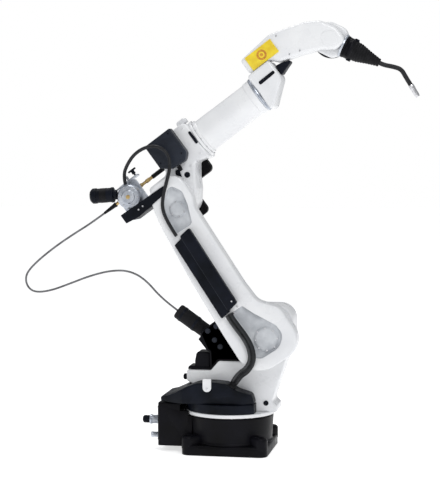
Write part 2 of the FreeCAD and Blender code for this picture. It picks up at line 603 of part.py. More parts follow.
def make_cables():
    """Pieces that bend: the torch neck, and the cables with their hand-chosen routes."""
    beside = number_of(ARM_NEAR)
    tip = number_of("arm_length")
    neck = [TORCH.point(x, 0, z) for x, z in NECK_ROUTE]
    tube("torch_neck", "neck_radius", neck, report=False)
    aim = (neck[-1] - neck[-2]).normalize()
    nozzle = doc.addObject("Part::Cone", "torch_nozzle")
    nozzle.Label = "torch_nozzle"
    nozzle.Radius1 = 14
    nozzle.Radius2 = 10
    nozzle.Height = 66
    nozzle.Placement = Placement(neck[-1], Rotation(Vector(0, 0, 1), aim))
    subparts.append(nozzle)

    bundle = [ARM.point(-72, beside - 19, 171.6), ARM.point(-72, beside - 19, 120),
              Vector(98, beside - 19, 592), Vector(132, beside - 19, 536), Vector(143, beside - 19, 474),
              Vector(117, beside - 18, 424), GLAND.point(0, -165, 66), GLAND.point(0, -165, 26.3)]
    tube("hose_bundle", "bundle_radius", bundle)
    control = [FOREARM.point(-173.4, -70, 194), FOREARM.point(-147.9, -98, 231.8),
               FOREARM.point(-95.7, -140, 255.3), FOREARM.point(-24.6, -172, 272.3),
               FOREARM.point(47.9, beside + 6, 261), FOREARM.point(98.1, beside + 4, 221.3),
               FOREARM.point(108.6, beside, 161.3), FOREARM.point(79.3, beside - 12, 108.5),
               FOREARM.point(27.2, beside - 19, 64.9), FOREARM.point(-27.7, beside - 19, 21),
               FOREARM.point(-70.2, beside - 18, -29.7), ARM.point(-80, beside - 17, tip - 108),
               ARM.point(-80, beside - 17, tip - 177.6)]
    tube("elbow_cable", "cable_radius", control)

    route = [FOREARM.point(-360.3, 0, 150), FOREARM.point(-444.6, -4, 150.3),
             FOREARM.point(-550.3, -12, 158.9), Vector(-886, -20, 993), Vector(-972, -26, 925),
             Vector(-1030, -30, 866), Vector(-1042, -30, 824), Vector(-1028, -30, 784),
             Vector(-991, -30, 761), Vector(-912, -30, 770), Vector(-810, -30, 808),
             Vector(-705, -28, 849), Vector(-600, -24, 876), Vector(-510, -16, 876),
             Vector(-430, -8, 834), SLEEVE.point(-96, 0, 0), SLEEVE.point(-0.3, 0, 0)]
    tube("wire_conduit", "conduit_radius", route)


make_base()
make_turret()
make_lower_arm()
make_elbow()
make_feeder()
make_wrist()
make_cables()
doc.recompute()

for item in doc.Objects:
    if "Invalid" in item.State or "Error" in item.State:
        raise RuntimeError(f"{item.Label} failed: {item.State}")
for item in subparts:
    if item.Shape.isNull() or not item.Shape.isValid():
        raise RuntimeError(f"{item.Label} has no valid shape")

os.makedirs("parts", exist_ok=True)
for item in subparts:
    item.Shape.exportStep(f"parts/{item.Label}.step")
for words, link in (("shoulder", ARM), ("elbow", FOREARM), ("wrist bend", TORCH)):
    print(words, "axis at", [round(number, 2) for number in link.point(0, 0, 0)])
print(len(subparts), "sub-parts written")
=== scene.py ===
# %% [markdown]
# A six-axis welding robot arm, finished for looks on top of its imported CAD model.
# The cells go from the camera and the light, through the finishes, to the arm itself from foot to torch.
# Every new piece is a surface worked out with numpy: an outline that gets a thickness and soft rims, a
# profile turned about an axis, or a ring carried along a line.

import json
import math

import bpy
import numpy as np
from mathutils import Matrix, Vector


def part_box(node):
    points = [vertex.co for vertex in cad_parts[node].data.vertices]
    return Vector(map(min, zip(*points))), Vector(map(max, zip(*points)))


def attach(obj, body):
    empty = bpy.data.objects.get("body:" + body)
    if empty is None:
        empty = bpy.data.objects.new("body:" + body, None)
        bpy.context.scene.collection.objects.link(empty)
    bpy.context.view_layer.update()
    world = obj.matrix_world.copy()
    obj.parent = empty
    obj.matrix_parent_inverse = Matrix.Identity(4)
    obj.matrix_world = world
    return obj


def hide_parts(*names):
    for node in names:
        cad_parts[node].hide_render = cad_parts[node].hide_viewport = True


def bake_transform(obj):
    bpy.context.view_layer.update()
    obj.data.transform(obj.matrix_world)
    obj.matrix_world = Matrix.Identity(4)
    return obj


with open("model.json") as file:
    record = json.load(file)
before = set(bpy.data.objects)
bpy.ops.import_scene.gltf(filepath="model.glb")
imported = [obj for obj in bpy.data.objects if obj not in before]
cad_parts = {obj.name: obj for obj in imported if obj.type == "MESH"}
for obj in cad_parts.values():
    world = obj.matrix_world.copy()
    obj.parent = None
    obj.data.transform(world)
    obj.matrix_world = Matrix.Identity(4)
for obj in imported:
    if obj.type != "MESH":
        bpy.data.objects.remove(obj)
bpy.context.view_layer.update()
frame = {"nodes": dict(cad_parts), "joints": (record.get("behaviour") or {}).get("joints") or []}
joints = {joint["name"]: joint for joint in frame["joints"]}


# %% [markdown]
# The camera stands a little to the left of the arm's side view and looks slightly down, from far away, so
# that the arm is seen almost in profile. It comes first, because every later choice is judged through it.

# %% Camera
WAY_ROUND = math.radians(10.4)
DOWNWARD = math.radians(3.45)
DISTANCE = 7.3
SIDEWAYS = -0.053
HEIGHT = 1.473
LENS = 111.75
camera_data = bpy.data.cameras.new("camera")
camera_data.sensor_fit = "VERTICAL"
camera_data.sensor_height = 36
camera_data.lens = LENS
camera = bpy.data.objects.new("camera", camera_data)
camera.location = (DISTANCE * math.sin(WAY_ROUND) + SIDEWAYS * math.cos(WAY_ROUND),
                   -DISTANCE * math.cos(WAY_ROUND) + SIDEWAYS * math.sin(WAY_ROUND), HEIGHT)
camera.rotation_euler = (math.pi / 2 - DOWNWARD, 0, WAY_ROUND)
bpy.context.scene.collection.objects.link(camera)
bpy.context.scene.camera = camera
print("camera at", [round(number, 3) for number in camera.location])

# %% [markdown]
# A studio for white machines is a white room: light comes from everywhere, and one large soft lamp
# on the upper left gives the castings their faint grey side. A white world does the first, and area lamps
# the second. The floor is one big pale sheet.

# %% Light and floor
scene = bpy.context.scene
scene.view_settings.view_transform = "Standard"
world = bpy.data.worlds.new("white room")
world.use_nodes = True
world_nodes = world.node_tree.nodes
world_links = world.node_tree.links
room_light = world_nodes["Background"]
room_light.inputs["Color"].default_value = (0.97, 0.985, 1, 1)
room_light.inputs["Strength"].default_value = 0.44
backdrop = world_nodes.new("ShaderNodeBackground")
backdrop.inputs["Color"].default_value = (1, 1, 1, 1)
backdrop.inputs["Strength"].default_value = 1.0
seen_directly = world_nodes.new("ShaderNodeLightPath")
either = world_nodes.new("ShaderNodeMixShader")
world_links.new(seen_directly.outputs["Is Camera Ray"], either.inputs["Fac"])
world_links.new(room_light.outputs["Background"], either.inputs[1])
world_links.new(backdrop.outputs["Background"], either.inputs[2])
world_links.new(either.outputs["Shader"], world_nodes["World Output"].inputs["Surface"])
scene.world = world


def soft_lamp(name, place, aim, size, watts):
    """An area lamp at place, turned so that it shines at aim."""
    lamp_data = bpy.data.lights.new(name, "AREA")
    lamp_data.shape = "DISK"
    lamp_data.size = size
    lamp_data.energy = watts
    lamp = bpy.data.objects.new(name, lamp_data)
    reach = np.subtract(aim, place)
    lamp.location = place
    flat = math.hypot(reach[0], reach[1])
    lamp.rotation_euler = (math.atan2(flat, -reach[2]), 0, math.atan2(-reach[0], reach[1]))
    scene.collection.objects.link(lamp)
    return lamp


soft_lamp("key lamp", (1.6, -4.2, 4.6), (0, 0, 1.1), 2.2, 90)
soft_lamp("top lamp", (-1.0, 1.0, 6.0), (0, 0, 1.2), 3.0, 90)

floor_mesh = bpy.data.meshes.new("floor")
corners = 30 * np.array([[-1, -1, 0], [1, -1, 0], [1, 1, 0], [-1, 1, 0]])
floor_mesh.from_pydata((corners - [0, 0, 0.0005]).tolist(), [], [(0, 1, 2, 3)])
floor = bpy.data.objects.new("floor", floor_mesh)
scene.collection.objects.link(floor)
print("floor, world and two lamps")

# %% [markdown]
# A finish is more than a colour. Enamel has a slight orange peel and a thin dust veil, cast paint is a
# little rougher, moulded plastic is matt with a fine grain, and bare metal has brushed streaks. One helper
# makes the shader with its fixed numbers set on its own sockets, and small functions add what varies.

# %% Shader helpers
def finish(name, colour, roughness, metallic=0.0, specular=0.5, coat=0.0):
    """A material with one principled shader, its constants set directly on the sockets."""
    material = bpy.data.materials.new(name)
    material.use_nodes = True
    shader = material.node_tree.nodes["Principled BSDF"]
    shader.inputs["Base Color"].default_value = (*colour, 1)
    shader.inputs["Roughness"].default_value = roughness
    shader.inputs["Metallic"].default_value = metallic
    shader.inputs["Specular IOR Level"].default_value = specular
    shader.inputs["Coat Weight"].default_value = coat
    shader.inputs["Coat Roughness"].default_value = 0.12
    return material


def wave_of(material, scale, detail=3.0, stretch=(1, 1, 1)):
    """Noise on the piece's own coordinates; stretch makes the grains longer along an axis."""
    nodes = material.node_tree.nodes
    links = material.node_tree.links
    place = nodes.new("ShaderNodeTexCoord")
    mapping = nodes.new("ShaderNodeMapping")
    mapping.inputs["Scale"].default_value = stretch
    noise = nodes.new("ShaderNodeTexNoise")
    noise.inputs["Scale"].default_value = scale
    noise.inputs["Detail"].default_value = detail
    links.new(place.outputs["Object"], mapping.inputs["Vector"])
    links.new(mapping.outputs["Vector"], noise.inputs["Vector"])
    return noise


def vary(material, socket, noise, low, high, from_low=0.35, from_high=0.65):
    """Let a number on the shader follow the noise between low and high."""
    span = material.node_tree.nodes.new("ShaderNodeMapRange")
    span.inputs["From Min"].default_value = from_low
    span.inputs["From Max"].default_value = from_high
    span.inputs["To Min"].default_value = low
    span.inputs["To Max"].default_value = high
    material.node_tree.links.new(noise.outputs["Fac"], span.inputs["Value"])
    material.node_tree.links.new(span.outputs["Result"],
                                 material.node_tree.nodes["Principled BSDF"].inputs[socket])


def tint(material, noise, dark, light, from_low=0.3, from_high=0.7):
    """Blend two colours by the noise."""
    nodes = material.node_tree.nodes
    ramp = nodes.new("ShaderNodeValToRGB")
    ramp.color_ramp.elements[0].position = from_low
    ramp.color_ramp.elements[0].color = (*dark, 1)
    ramp.color_ramp.elements[1].position = from_high
    ramp.color_ramp.elements[1].color = (*light, 1)
    material.node_tree.links.new(noise.outputs["Fac"], ramp.inputs["Fac"])
    material.node_tree.links.new(ramp.outputs["Color"], nodes["Principled BSDF"].inputs["Base Color"])
    return ramp


def grain(material, noise, depth, strength):
    """Raise and lower the surface by the noise, in metres."""
    bump = material.node_tree.nodes.new("ShaderNodeBump")
    bump.inputs["Distance"].default_value = depth
    bump.inputs["Strength"].default_value = strength
    material.node_tree.links.new(noise.outputs["Fac"], bump.inputs["Height"])
    material.node_tree.links.new(bump.outputs["Normal"],
                                 material.node_tree.nodes["Principled BSDF"].inputs["Normal"])


# %% Finishes of the arm
def white_enamel():
    """Glossy white paint over a casting: a broad, faint grey cloud, and a fine orange peel."""
    material = finish("white enamel", (0.80, 0.805, 0.82), 0.32, coat=0.2)
    tint(material, wave_of(material, 5), (0.71, 0.72, 0.745), (0.81, 0.815, 0.825))
    vary(material, "Roughness", wave_of(material, 18), 0.24, 0.4)
    grain(material, wave_of(material, 420, 2), 0.0006, 0.12)
    return material


def recess_shade_enamel():
    """The same paint down in the recesses, where the mould left it rougher, painted a darker mottled grey as
    painted shade.
    """
    material = finish("recess enamel", (0.55, 0.57, 0.60), 0.45)
    tint(material, wave_of(material, 11, 5), (0.34, 0.36, 0.39), (0.68, 0.70, 0.73))
    grain(material, wave_of(material, 300, 2), 0.001, 0.25)
    return material


def black_paint():
    """Satin black on cast iron: brown-black, with soft patches and a sand-cast grain."""
    material = finish("black paint", (0.005, 0.005, 0.006), 0.36, specular=0.09)
    tint(material, wave_of(material, 7), (0.002, 0.0018, 0.002), (0.006, 0.006, 0.009))
    vary(material, "Roughness", wave_of(material, 14), 0.34, 0.5)
    grain(material, wave_of(material, 240, 3), 0.0012, 0.25)
    return material


def black_plastic():
    """Moulded black covers: blue-black and matt, with the fine spark grain of the mould."""
    material = finish("black plastic", (0.005, 0.006, 0.009), 0.4, specular=0.1)
    tint(material, wave_of(material, 11), (0.002, 0.003, 0.005), (0.007, 0.009, 0.016))
    vary(material, "Roughness", wave_of(material, 30), 0.36, 0.55)
    grain(material, wave_of(material, 900, 2), 0.0004, 0.3)
    return material


def slate_plastic():
    """The elbow box: a dark slate blue with a soft bloom."""
    material = finish("slate plastic", (0.016, 0.019, 0.028), 0.42, specular=0.2)
    tint(material, wave_of(material, 8), (0.007, 0.009, 0.014), (0.022, 0.027, 0.040))
    vary(material, "Roughness", wave_of(material, 30), 0.34, 0.52)
    grain(material, wave_of(material, 700, 2), 0.0004, 0.3)
    return material


def brushed_metal():
    """Machined aluminium: grey, with streaks along one axis and a slightly blue cast."""
    material = finish("brushed metal", (0.55, 0.58, 0.63), 0.34, metallic=0.9)
    tint(material, wave_of(material, 22), (0.34, 0.37, 0.43), (0.66, 0.69, 0.74))
    vary(material, "Roughness", wave_of(material, 60, 4, (1, 1, 14)), 0.22, 0.48)
    grain(material, wave_of(material, 160, 3, (1, 1, 18)), 0.0005, 0.2)
    return material


def bright_steel():
    """Plated steel of screws, fittings and the torch neck."""
    material = finish("bright steel", (0.62, 0.62, 0.64), 0.25, metallic=1.0)
    vary(material, "Roughness", wave_of(material, 90, 3, (1, 1, 6)), 0.16, 0.36)
    grain(material, wave_of(material, 500, 2), 0.0002, 0.2)
    return material


def brass():
    """Turned brass fittings, a little tarnished."""
    material = finish("brass", (0.62, 0.43, 0.16), 0.3, metallic=1.0)
    tint(material, wave_of(material, 60), (0.40, 0.26, 0.10), (0.74, 0.55, 0.24))
    vary(material, "Roughness", wave_of(material, 90), 0.2, 0.42)
    return material


def rubber():
    """Black rubber of boots and reliefs: matt, with a grey bloom."""
    material = finish("rubber", (0.006, 0.006, 0.007), 0.58, specular=0.14)
    tint(material, wave_of(material, 24), (0.003, 0.003, 0.004), (0.011, 0.011, 0.013))
    grain(material, wave_of(material, 600, 2), 0.0004, 0.35)
    return material


def cable_skin(name, dark, light, roughness):
    """The extruded skin of a cable: near black or grey, with long faint scuffs."""
    material = finish(name, light, roughness, specular=0.3)
    tint(material, wave_of(material, 30), dark, light)
    vary(material, "Roughness", wave_of(material, 70), roughness - 0.08, roughness + 0.1)
    grain(material, wave_of(material, 800, 2), 0.0003, 0.2)
    return material


def yellow_plate():
    """Printed yellow foil: even yellow, slightly faded in clouds, under a thin gloss."""
    material = finish("yellow foil", (0.80, 0.60, 0.02), 0.35, coat=0.3)
    tint(material, wave_of(material, 26), (0.70, 0.48, 0.01), (0.86, 0.68, 0.03))
    vary(material, "Roughness", wave_of(material, 40), 0.28, 0.44)
    return material


def amber_print():
    """The round mark printed on the foil."""
    material = finish("amber print", (0.55, 0.22, 0.02), 0.4)
    tint(material, wave_of(material, 90), (0.42, 0.15, 0.015), (0.70, 0.34, 0.03))
    return material


def pale_floor():
    """A plain pale studio floor with an almost invisible cloud."""
    material = finish("pale floor", (0.95, 0.95, 0.95), 0.7, specular=0.1)
    material.node_tree.nodes["Principled BSDF"].inputs["Emission Color"].default_value = (1, 1, 1, 1)
    material.node_tree.nodes["Principled BSDF"].inputs["Emission Strength"].default_value = 0.62
    tint(material, wave_of(material, 0.6), (0.93, 0.93, 0.93), (0.97, 0.97, 0.97))
    return material


WHITE = white_enamel()
RECESS_SHADE = recess_shade_enamel()
BLACK = black_paint()
PLASTIC = black_plastic()
SLATE = slate_plastic()
METAL = brushed_metal()
STEEL = bright_steel()
BRASS = brass()
RUBBER = rubber()
# The hose skin is lighter than the cord skin: partly the hoses' own dark grey, partly a painted highlight.
HOSE_WITH_HIGHLIGHT = cable_skin("hose skin", (0.020, 0.021, 0.023), (0.050, 0.052, 0.056), 0.34)
CORD = cable_skin("cord skin", (0.006, 0.0065, 0.008), (0.014, 0.015, 0.018), 0.5)
CONDUIT = cable_skin("conduit skin", (0.10, 0.10, 0.105), (0.19, 0.19, 0.20), 0.4)
YELLOW = yellow_plate()
AMBER = amber_print()
floor_mesh.materials.append(pale_floor())

# %% [markdown]
# A robot arm is easiest to draw link by link, each on its own sheet of paper: the lower arm's paper is
# pinned at the shoulder and turned with it, the forearm's at the elbow, the torch's at the wrist. A link is
# an origin and three axes, read from the CAD joints, and it turns millimetres on its paper into metres in
# the frame.

# %% The links
class Link:
    """x runs forward on the link's paper, z up it, and y away from the viewer."""

    def __init__(self, origin, x_way, z_way, y_way=(0, 1, 0)):
        self.origin = np.array(origin, float)
        self.axes = np.array([x_way, y_way, z_way], float)

    def place(self, points):
        """Frame point = origin + x * x_way + y * y_way + z * z_way, with x, y and z in millimetres."""
        return self.origin + (np.asarray(points, float) @ self.axes) / 1000


def link_at(origin, rise):
    """A link whose paper is turned up by rise, in radians."""
    return Link(origin, (math.cos(rise), 0, math.sin(rise)), (-math.sin(rise), 0, math.cos(rise)))


shoulder = np.array(joints["shoulder"]["pos_m"])
elbow = np.array(joints["elbow"]["pos_m"])
bend = np.array(joints["wrist_bend_turn"]["pos_m"])
roll_axis = joints["wrist_roll_turn"]["axis"]
torch_axis = joints["torch_turn"]["axis"]
ARM_LENGTH = 1000 * float(np.linalg.norm(elbow - shoulder))
LEAN = math.atan2(shoulder[0] - elbow[0], elbow[2] - shoulder[2])
TILT = math.atan2(roll_axis[2], roll_axis[0])
TORCH_TILT = math.atan2(torch_axis[2], torch_axis[0])
GROUND = link_at((0, 0, 0), 0)
ARM = link_at(shoulder, LEAN)
FOREARM = link_at(elbow, TILT)
TORCH = link_at(bend, TORCH_TILT)
OFFSET = float((bend - elbow) @ FOREARM.axes[2]) * 1000
BEND_ALONG = float((bend - elbow) @ FOREARM.axes[0]) * 1000
print(f"arm {ARM_LENGTH:.0f} mm, lean {math.degrees(LEAN):.1f}, forearm {math.degrees(TILT):.1f} degrees")

# %% [markdown]
# Castings have flat faces, but no sharp edge anywhere: the mould needs soft corners, and paint rounds them
# further. So an outline is a list of corners with a radius each, and the plate made from it gets
# quarter-circle rims. Turned parts come from a profile in the same way.

# %% Outlines and profiles
def rounded(corners, closed=True, steps=7):
    """Corners (u, v, radius) become tangent arcs. An arc starts and ends radius * tan(turn / 2) from its
    corner, at most 0.48 of the shorter side, and its points are the first one turned about the centre.
    An open profile has rows (u, v). A closed outline has rows (u, v, centre, corner, radius), which is
    what an inset needs, with the radius below zero at a hollow corner."""
    table = np.array([corner if len(corner) == 3 else (*corner, 0) for corner in corners], float)
    points, radius = table[:, :2], table[:, 2]
    come = points - np.roll(points, 1, axis=0)
    leave = np.roll(points, -1, axis=0) - points
    come_length = np.linalg.norm(come, axis=1)
    leave_length = np.linalg.norm(leave, axis=1)
    come /= np.maximum(come_length, 1e-9)[:, None]
    leave /= np.maximum(leave_length, 1e-9)[:, None]
    turn = np.arctan2(come[:, 0] * leave[:, 1] - come[:, 1] * leave[:, 0], (come * leave).sum(axis=1))
    half = np.tan(np.abs(turn) / 2)
    if closed:
        radius = np.maximum(radius, 0.3)
    reach = np.minimum(radius * half, 0.48 * np.minimum(come_length, leave_length))
    if not closed:
        reach[[0, -1]] = 0
    size = np.where(half > 1e-4, reach / np.maximum(half, 1e-4), radius)
    first = points - come * reach[:, None]
    hand = np.where(turn < 0, -1.0, 1.0)
    side = hand[:, None] * np.stack([-come[:, 1], come[:, 0]], axis=1)
    centre = first + side * size[:, None]
    arm = first - centre
    angle = turn[:, None] * np.linspace(0, 1, steps + 1)[None, :]
    turned_u = arm[:, :1] * np.cos(angle) - arm[:, 1:] * np.sin(angle)
    turned_v = arm[:, :1] * np.sin(angle) + arm[:, 1:] * np.cos(angle)
    line = np.stack([centre[:, :1] + turned_u, centre[:, 1:] + turned_v], axis=2)
    if not closed:
        line[0], line[-1] = points[0], points[-1]
        line = line.reshape(-1, 2)
        ahead = np.linalg.norm(np.diff(line, axis=0), axis=1)
        return line[np.append(True, ahead > 1e-4)]
    size *= hand * np.sign(signed_area(points))
    facts = np.repeat(np.concatenate([centre, points, size[:, None]], axis=1), steps + 1, axis=0)
    return np.concatenate([line.reshape(-1, 2), facts], axis=1)


def round_outline(u, v, radius, count=64):
    """A circle: (u + radius * cos t, v + radius * sin t), as an outline with one arc."""
    angle = np.linspace(0, 2 * math.pi, count, endpoint=False)
    facts = np.tile([u, v, u, v, radius], (count, 1))
    return np.concatenate([facts[:, :2] + radius * np.stack([np.cos(angle), np.sin(angle)], axis=1), facts],
                          axis=1)


def signed_area(outline):
    """Half the sum of u * next v - next u * v: above zero when the outline runs anticlockwise."""
    after = np.roll(outline, -1, axis=0)
    return 0.5 * float((outline[:, 0] * after[:, 1] - after[:, 0] * outline[:, 1]).sum())


def inset(outline, distance):
    """The outline drawn in by a distance. An arc keeps its centre and its radius shrinks by the distance,
    or grows at a hollow corner. Once nothing is left of it, it slides from its corner past the centre."""
    point, centre, corner, radius = outline[:, :2], outline[:, 2:4], outline[:, 4:6], outline[:, 6:]
    size = np.abs(radius)
    left = np.where(radius > 0, np.maximum(size - distance, 0.1), size + distance)
    slide = np.where(radius > 0, np.maximum(distance + left - size, 0) / size, 0)
    return centre + (centre - corner) * slide + (point - centre) * left / size


def fitting(outline, rim):
    """The widest inset, up to rim, at which no side of the outline has run out."""
    sides = np.roll(outline[:, :2], -1, axis=0) - outline[:, :2]
    while rim > 0.02:
        inner = inset(outline, rim)
        if ((np.roll(inner, -1, axis=0) - inner) * sides).sum(axis=1).min() > -1e-6:
            return rim
        rim *= 0.93
    return 0.01


# %% Meshes from grids of points
def strip_faces(rows, count):
    """Quads between neighbouring closed rings of count points each."""
    row = np.arange(rows - 1)[:, None] * count
    column = np.arange(count)[None, :]
    beside = (column + 1) % count
    quads = np.stack([row + column, row + beside, row + count + beside, row + count + column], axis=2)
    return quads.reshape(-1, 4)


def ringed(rings):
    """Closed rings one after the other, with a flat face on the first and the last."""
    rows, count = rings.shape[:2]
    faces = strip_faces(rows, count).tolist()
    faces.append(list(range(count))[::-1])
    faces.append(list(range((rows - 1) * count, rows * count)))
    return rings.reshape(-1, 3), faces


def plate(outline, near, far, rim, far_rim=None, steps=5):
    """A plate cut to an outline in x and z, from y = near to y = far. On its rim, at angle a from the
    side, a point lies rim * (1 - cos a) inside the outline and rim * (1 - sin a) short of the face."""
    if signed_area(outline) < 0:
        outline = outline[::-1]
    rim, far_rim = fitting(outline, rim), fitting(outline, rim if far_rim is None else far_rim)
    angle = np.linspace(math.pi / 2, 0, steps + 1)
    drawn_in = np.concatenate([rim * (1 - np.cos(angle)), far_rim * (1 - np.cos(angle[::-1]))])
    depth = np.concatenate([near + rim * (1 - np.sin(angle)), far - far_rim * (1 - np.sin(angle[::-1]))])
    flat = np.stack([inset(outline, distance) for distance in drawn_in])
    height = np.broadcast_to(depth[:, None, None], (*flat.shape[:2], 1))
    return ringed(np.concatenate([flat[..., :1], height, flat[..., 1:]], axis=2))


def turned(profile, count=48):
    """A profile (along, radius) turned about the along axis: y = radius * cos t, z = radius * sin t."""
    angle = np.linspace(0, 2 * math.pi, count, endpoint=False)
    along = np.broadcast_to(profile[:, :1], (len(profile), count))
    radius = np.maximum(profile[:, 1:], 1e-3)
    rings = np.stack([along, radius * np.cos(angle), radius * np.sin(angle)], axis=2)
    return ringed(rings)


def carried(line, radius, count=16):
    """A round skin about a line of points: each ring lies across the line, started square to the line and
    to one fixed direction."""
    line = np.asarray(line, float)
    way = np.gradient(line, axis=0)
    way /= np.linalg.norm(way, axis=1)[:, None]
    side = np.cross(way, (0.13, 1, 0.07))
    side /= np.linalg.norm(side, axis=1)[:, None]
    other = np.cross(way, side)
    angle = np.linspace(0, 2 * math.pi, count, endpoint=False)
    radius = np.broadcast_to(np.asarray(radius, float), (len(line),))[:, None, None]
    ring = side[:, None] * np.cos(angle)[None, :, None] + other[:, None] * np.sin(angle)[None, :, None]
    return ringed(line[:, None] + ring * radius)


# %% [markdown]
# A finished piece needs more than points: faces that look outwards, smooth shading that stops at real
# edges, a finish, a body to ride on, and the CAD node that it stands for. One function does all of it, so
# that each piece below is only its shape and its names.

# %% Keep a piece
def outward(points, faces):
    """Turn all faces round if the closed mesh has a negative volume."""
    fans = [(face[0], face[i], face[i + 1]) for face in faces for i in range(1, len(face) - 1)]
    a, b, c = points[np.array(fans)].transpose(1, 0, 2)
    return [face[::-1] for face in faces] if (a * np.cross(b, c)).sum() < 0 else faces


def mesh_piece(name, link, shape):
    """Points on a link's paper and their faces, made an object at the origin."""
    points, faces = shape
    placed = link.place(points)
    mesh = bpy.data.meshes.new(name)
    mesh.from_pydata(placed.tolist(), [], outward(placed, faces))
    piece = bpy.data.objects.new(name, mesh)
    scene.collection.objects.link(piece)
    return piece


def settle(piece):
    """Apply the piece's modifiers to its mesh."""
    bpy.context.view_layer.update()
    seen = piece.evaluated_get(bpy.context.evaluated_depsgraph_get())
    mesh = bpy.data.meshes.new_from_object(seen)
    piece.modifiers.clear()
    piece.data = mesh
    return piece


def shade(piece, material, edge=32):
    """Give the finish, and smooth every face but across edges sharper than edge, in degrees."""
    mesh = piece.data
    if not mesh.materials:
        mesh.materials.append(material)
    mesh.polygons.foreach_set("use_smooth", np.ones(len(mesh.polygons), bool))
    mesh.set_sharp_from_angle(angle=math.radians(edge))
    return piece


def keep(name, link, shape, material, body, *nodes, edge=32):
    """Make the piece, shade it, let it ride on its body and hide the CAD nodes it stands for."""
    piece = shade(mesh_piece(name, link, shape), material, edge)
    return hand_over(piece, material, body, *nodes)


def hand_over(piece, material, body, *nodes):
    """Let a finished piece ride on its body, in the place of its CAD nodes."""
    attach(piece, body)
    if nodes:
        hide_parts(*nodes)
    return piece


def joined(*shapes):
    """Several closed shapes as one mesh."""
    points, faces, start = [], [], 0
    for part_points, part_faces in shapes:
        part_points = np.asarray(part_points, float)
        points.append(part_points)
        faces += [[start + index for index in face] for face in outward(part_points, part_faces)]
        start += len(part_points)
    return np.concatenate(points), faces


def moved(shape, axis="x", at=(0, 0, 0)):
    """Turn a shape made along x so that it runs along another axis, or back along it, then move it."""
    order = {"x": (0, 1, 2), "y": (1, 0, 2), "z": (2, 1, 0)}[axis[-1]]
    points = np.asarray(shape[0], float)[:, order]
    if axis[0] == "-":
        points[:, "xyz".index(axis[1])] *= -1
    return points + np.array(at, float), shape[1]


def carved(name, link, shape, cutters, material, body, *nodes, soft=2.5):
    """Cut shapes out of a piece with a Boolean modifier, then soften the new edges with a Bevel."""
    piece = mesh_piece(name, link, shape)
    piece.data.materials.append(material)
    tools = []
    for index, (cutter, cut_material) in enumerate(cutters):
        tool = mesh_piece(f"{name}_tool_{index}", link, cutter)
        tool.data.materials.append(cut_material)
        tools.append(tool)
        cut = piece.modifiers.new("cut", "BOOLEAN")
        cut.operation = "DIFFERENCE"
        cut.solver = "EXACT"
        cut.material_mode = "TRANSFER"
        cut.object = tool
    settle(piece)
    for tool in tools:
        bpy.data.objects.remove(tool)
    if soft:
        bevel = piece.modifiers.new("soft", "BEVEL")
        bevel.width = soft / 1000
        bevel.segments = 2
        bevel.limit_method = "ANGLE"
        bevel.angle_limit = math.radians(40)
        settle(piece)
    shade(piece, material)
    return hand_over(piece, material, body, *nodes)


# %% [markdown]
# Screws hold everything on such an arm, and they are what makes a casting look bolted together. A cap
# screw is a turned head with a hexagonal socket, and a flange has a ring of them. They are repeated
# often, so each has only a few dozen faces, and all screws of one flange are one piece.

# %% Screws
def cap_screw(size):
    """A socket head along x, its top at x = size: the socket is a six-sided ring that steps down."""
    angle = np.linspace(0, 2 * math.pi, 12, endpoint=False)
    hexagon = 0.5 / np.cos((angle + math.pi / 6) % (math.pi / 3) - math.pi / 6)
    steps = [(0, 1.0, 0), (0.85, 1.0, 0), (1.0, 0.88, 0), (1.0, 1.0, 1), (0.45, 1.0, 1)]
    rings = [size * np.stack([np.full(12, along), spread * np.cos(angle), spread * np.sin(angle)], axis=1)
             for along, wide, six in steps for spread in [hexagon * wide if six else wide + 0 * angle]]
    return ringed(np.array(rings))


def screws(name, link, axis, places, size, material, body):
    """One cap screw at each place, standing along an axis of the link."""
    return keep(name, link, joined(*[moved(cap_screw(size), axis, place) for place in places]),
                material, body)


def ring_places(centre, radius, count, axis="y", start=0.0):
    """Points on a circle about centre, in the plane across the axis."""
    angle = start + np.linspace(0, 2 * math.pi, count, endpoint=False)
    a, b, zero = radius * np.cos(angle), radius * np.sin(angle), 0 * angle
    offsets = {"y": (a, zero, b), "x": (zero, a, b), "z": (a, b, zero)}[axis[-1]]
    return (np.array(centre, float) + np.stack(offsets, axis=1)).tolist()


# %% [markdown]
# A few plain pieces whose CAD shape is already right only need their finish. Everything not listed here
# gets a new piece further down.

# %% Finishes on the CAD nodes
CAD_FINISH = {"shoulder_reducer": WHITE, "elbow_reducer": WHITE, "shoulder_motor_bracket": BLACK,
              "foot_plug": PLASTIC}
for node, material in CAD_FINISH.items():
    mesh = frame["nodes"][node].data
    mesh.materials.clear()
    mesh.materials.append(material)
print(len(CAD_FINISH), "CAD nodes keep their shape")


# %% [markdown]
# The cords come before the arm's covers, because they must fit between them. Each one is a smooth NURBS
# line through given control points, straight out of its gland and then hanging. The wire conduit swings
# with two joints, so it is made as two lengths that meet in the loop: quadratic splines touch their control
# polygon at the middle of each run, so cutting it there leaves the curve as it was.

# %% Lines of the cords
def smooth_line(points, steps=14):
    """The NURBS line of order 3 over these control points, read back as an array of points."""
    curve = bpy.data.curves.new("line", "CURVE")
    curve.dimensions = "3D"
    spline = curve.splines.new("NURBS")
    spline.points.add(len(points) - 1)
    table = np.concatenate([np.array(points, float), np.ones((len(points), 1))], axis=1)
    spline.points.foreach_set("co", table.ravel())
    spline.order_u = 3
    spline.use_endpoint_u = True
    curve.resolution_u = steps
    holder = bpy.data.objects.new("line", curve)
    mesh = bpy.data.meshes.new_from_object(holder)
    line = np.empty(len(mesh.vertices) * 3)
    mesh.vertices.foreach_get("co", line)
    bpy.data.objects.remove(holder)
    return line.reshape(-1, 3)


def length_of(line):
    """The sum of the distances between neighbouring points."""
    return float(np.linalg.norm(np.diff(line, axis=0), axis=1).sum())


METRES = Link((0, 0, 0), (1000, 0, 0), (0, 0, 1000), (0, 1000, 0))


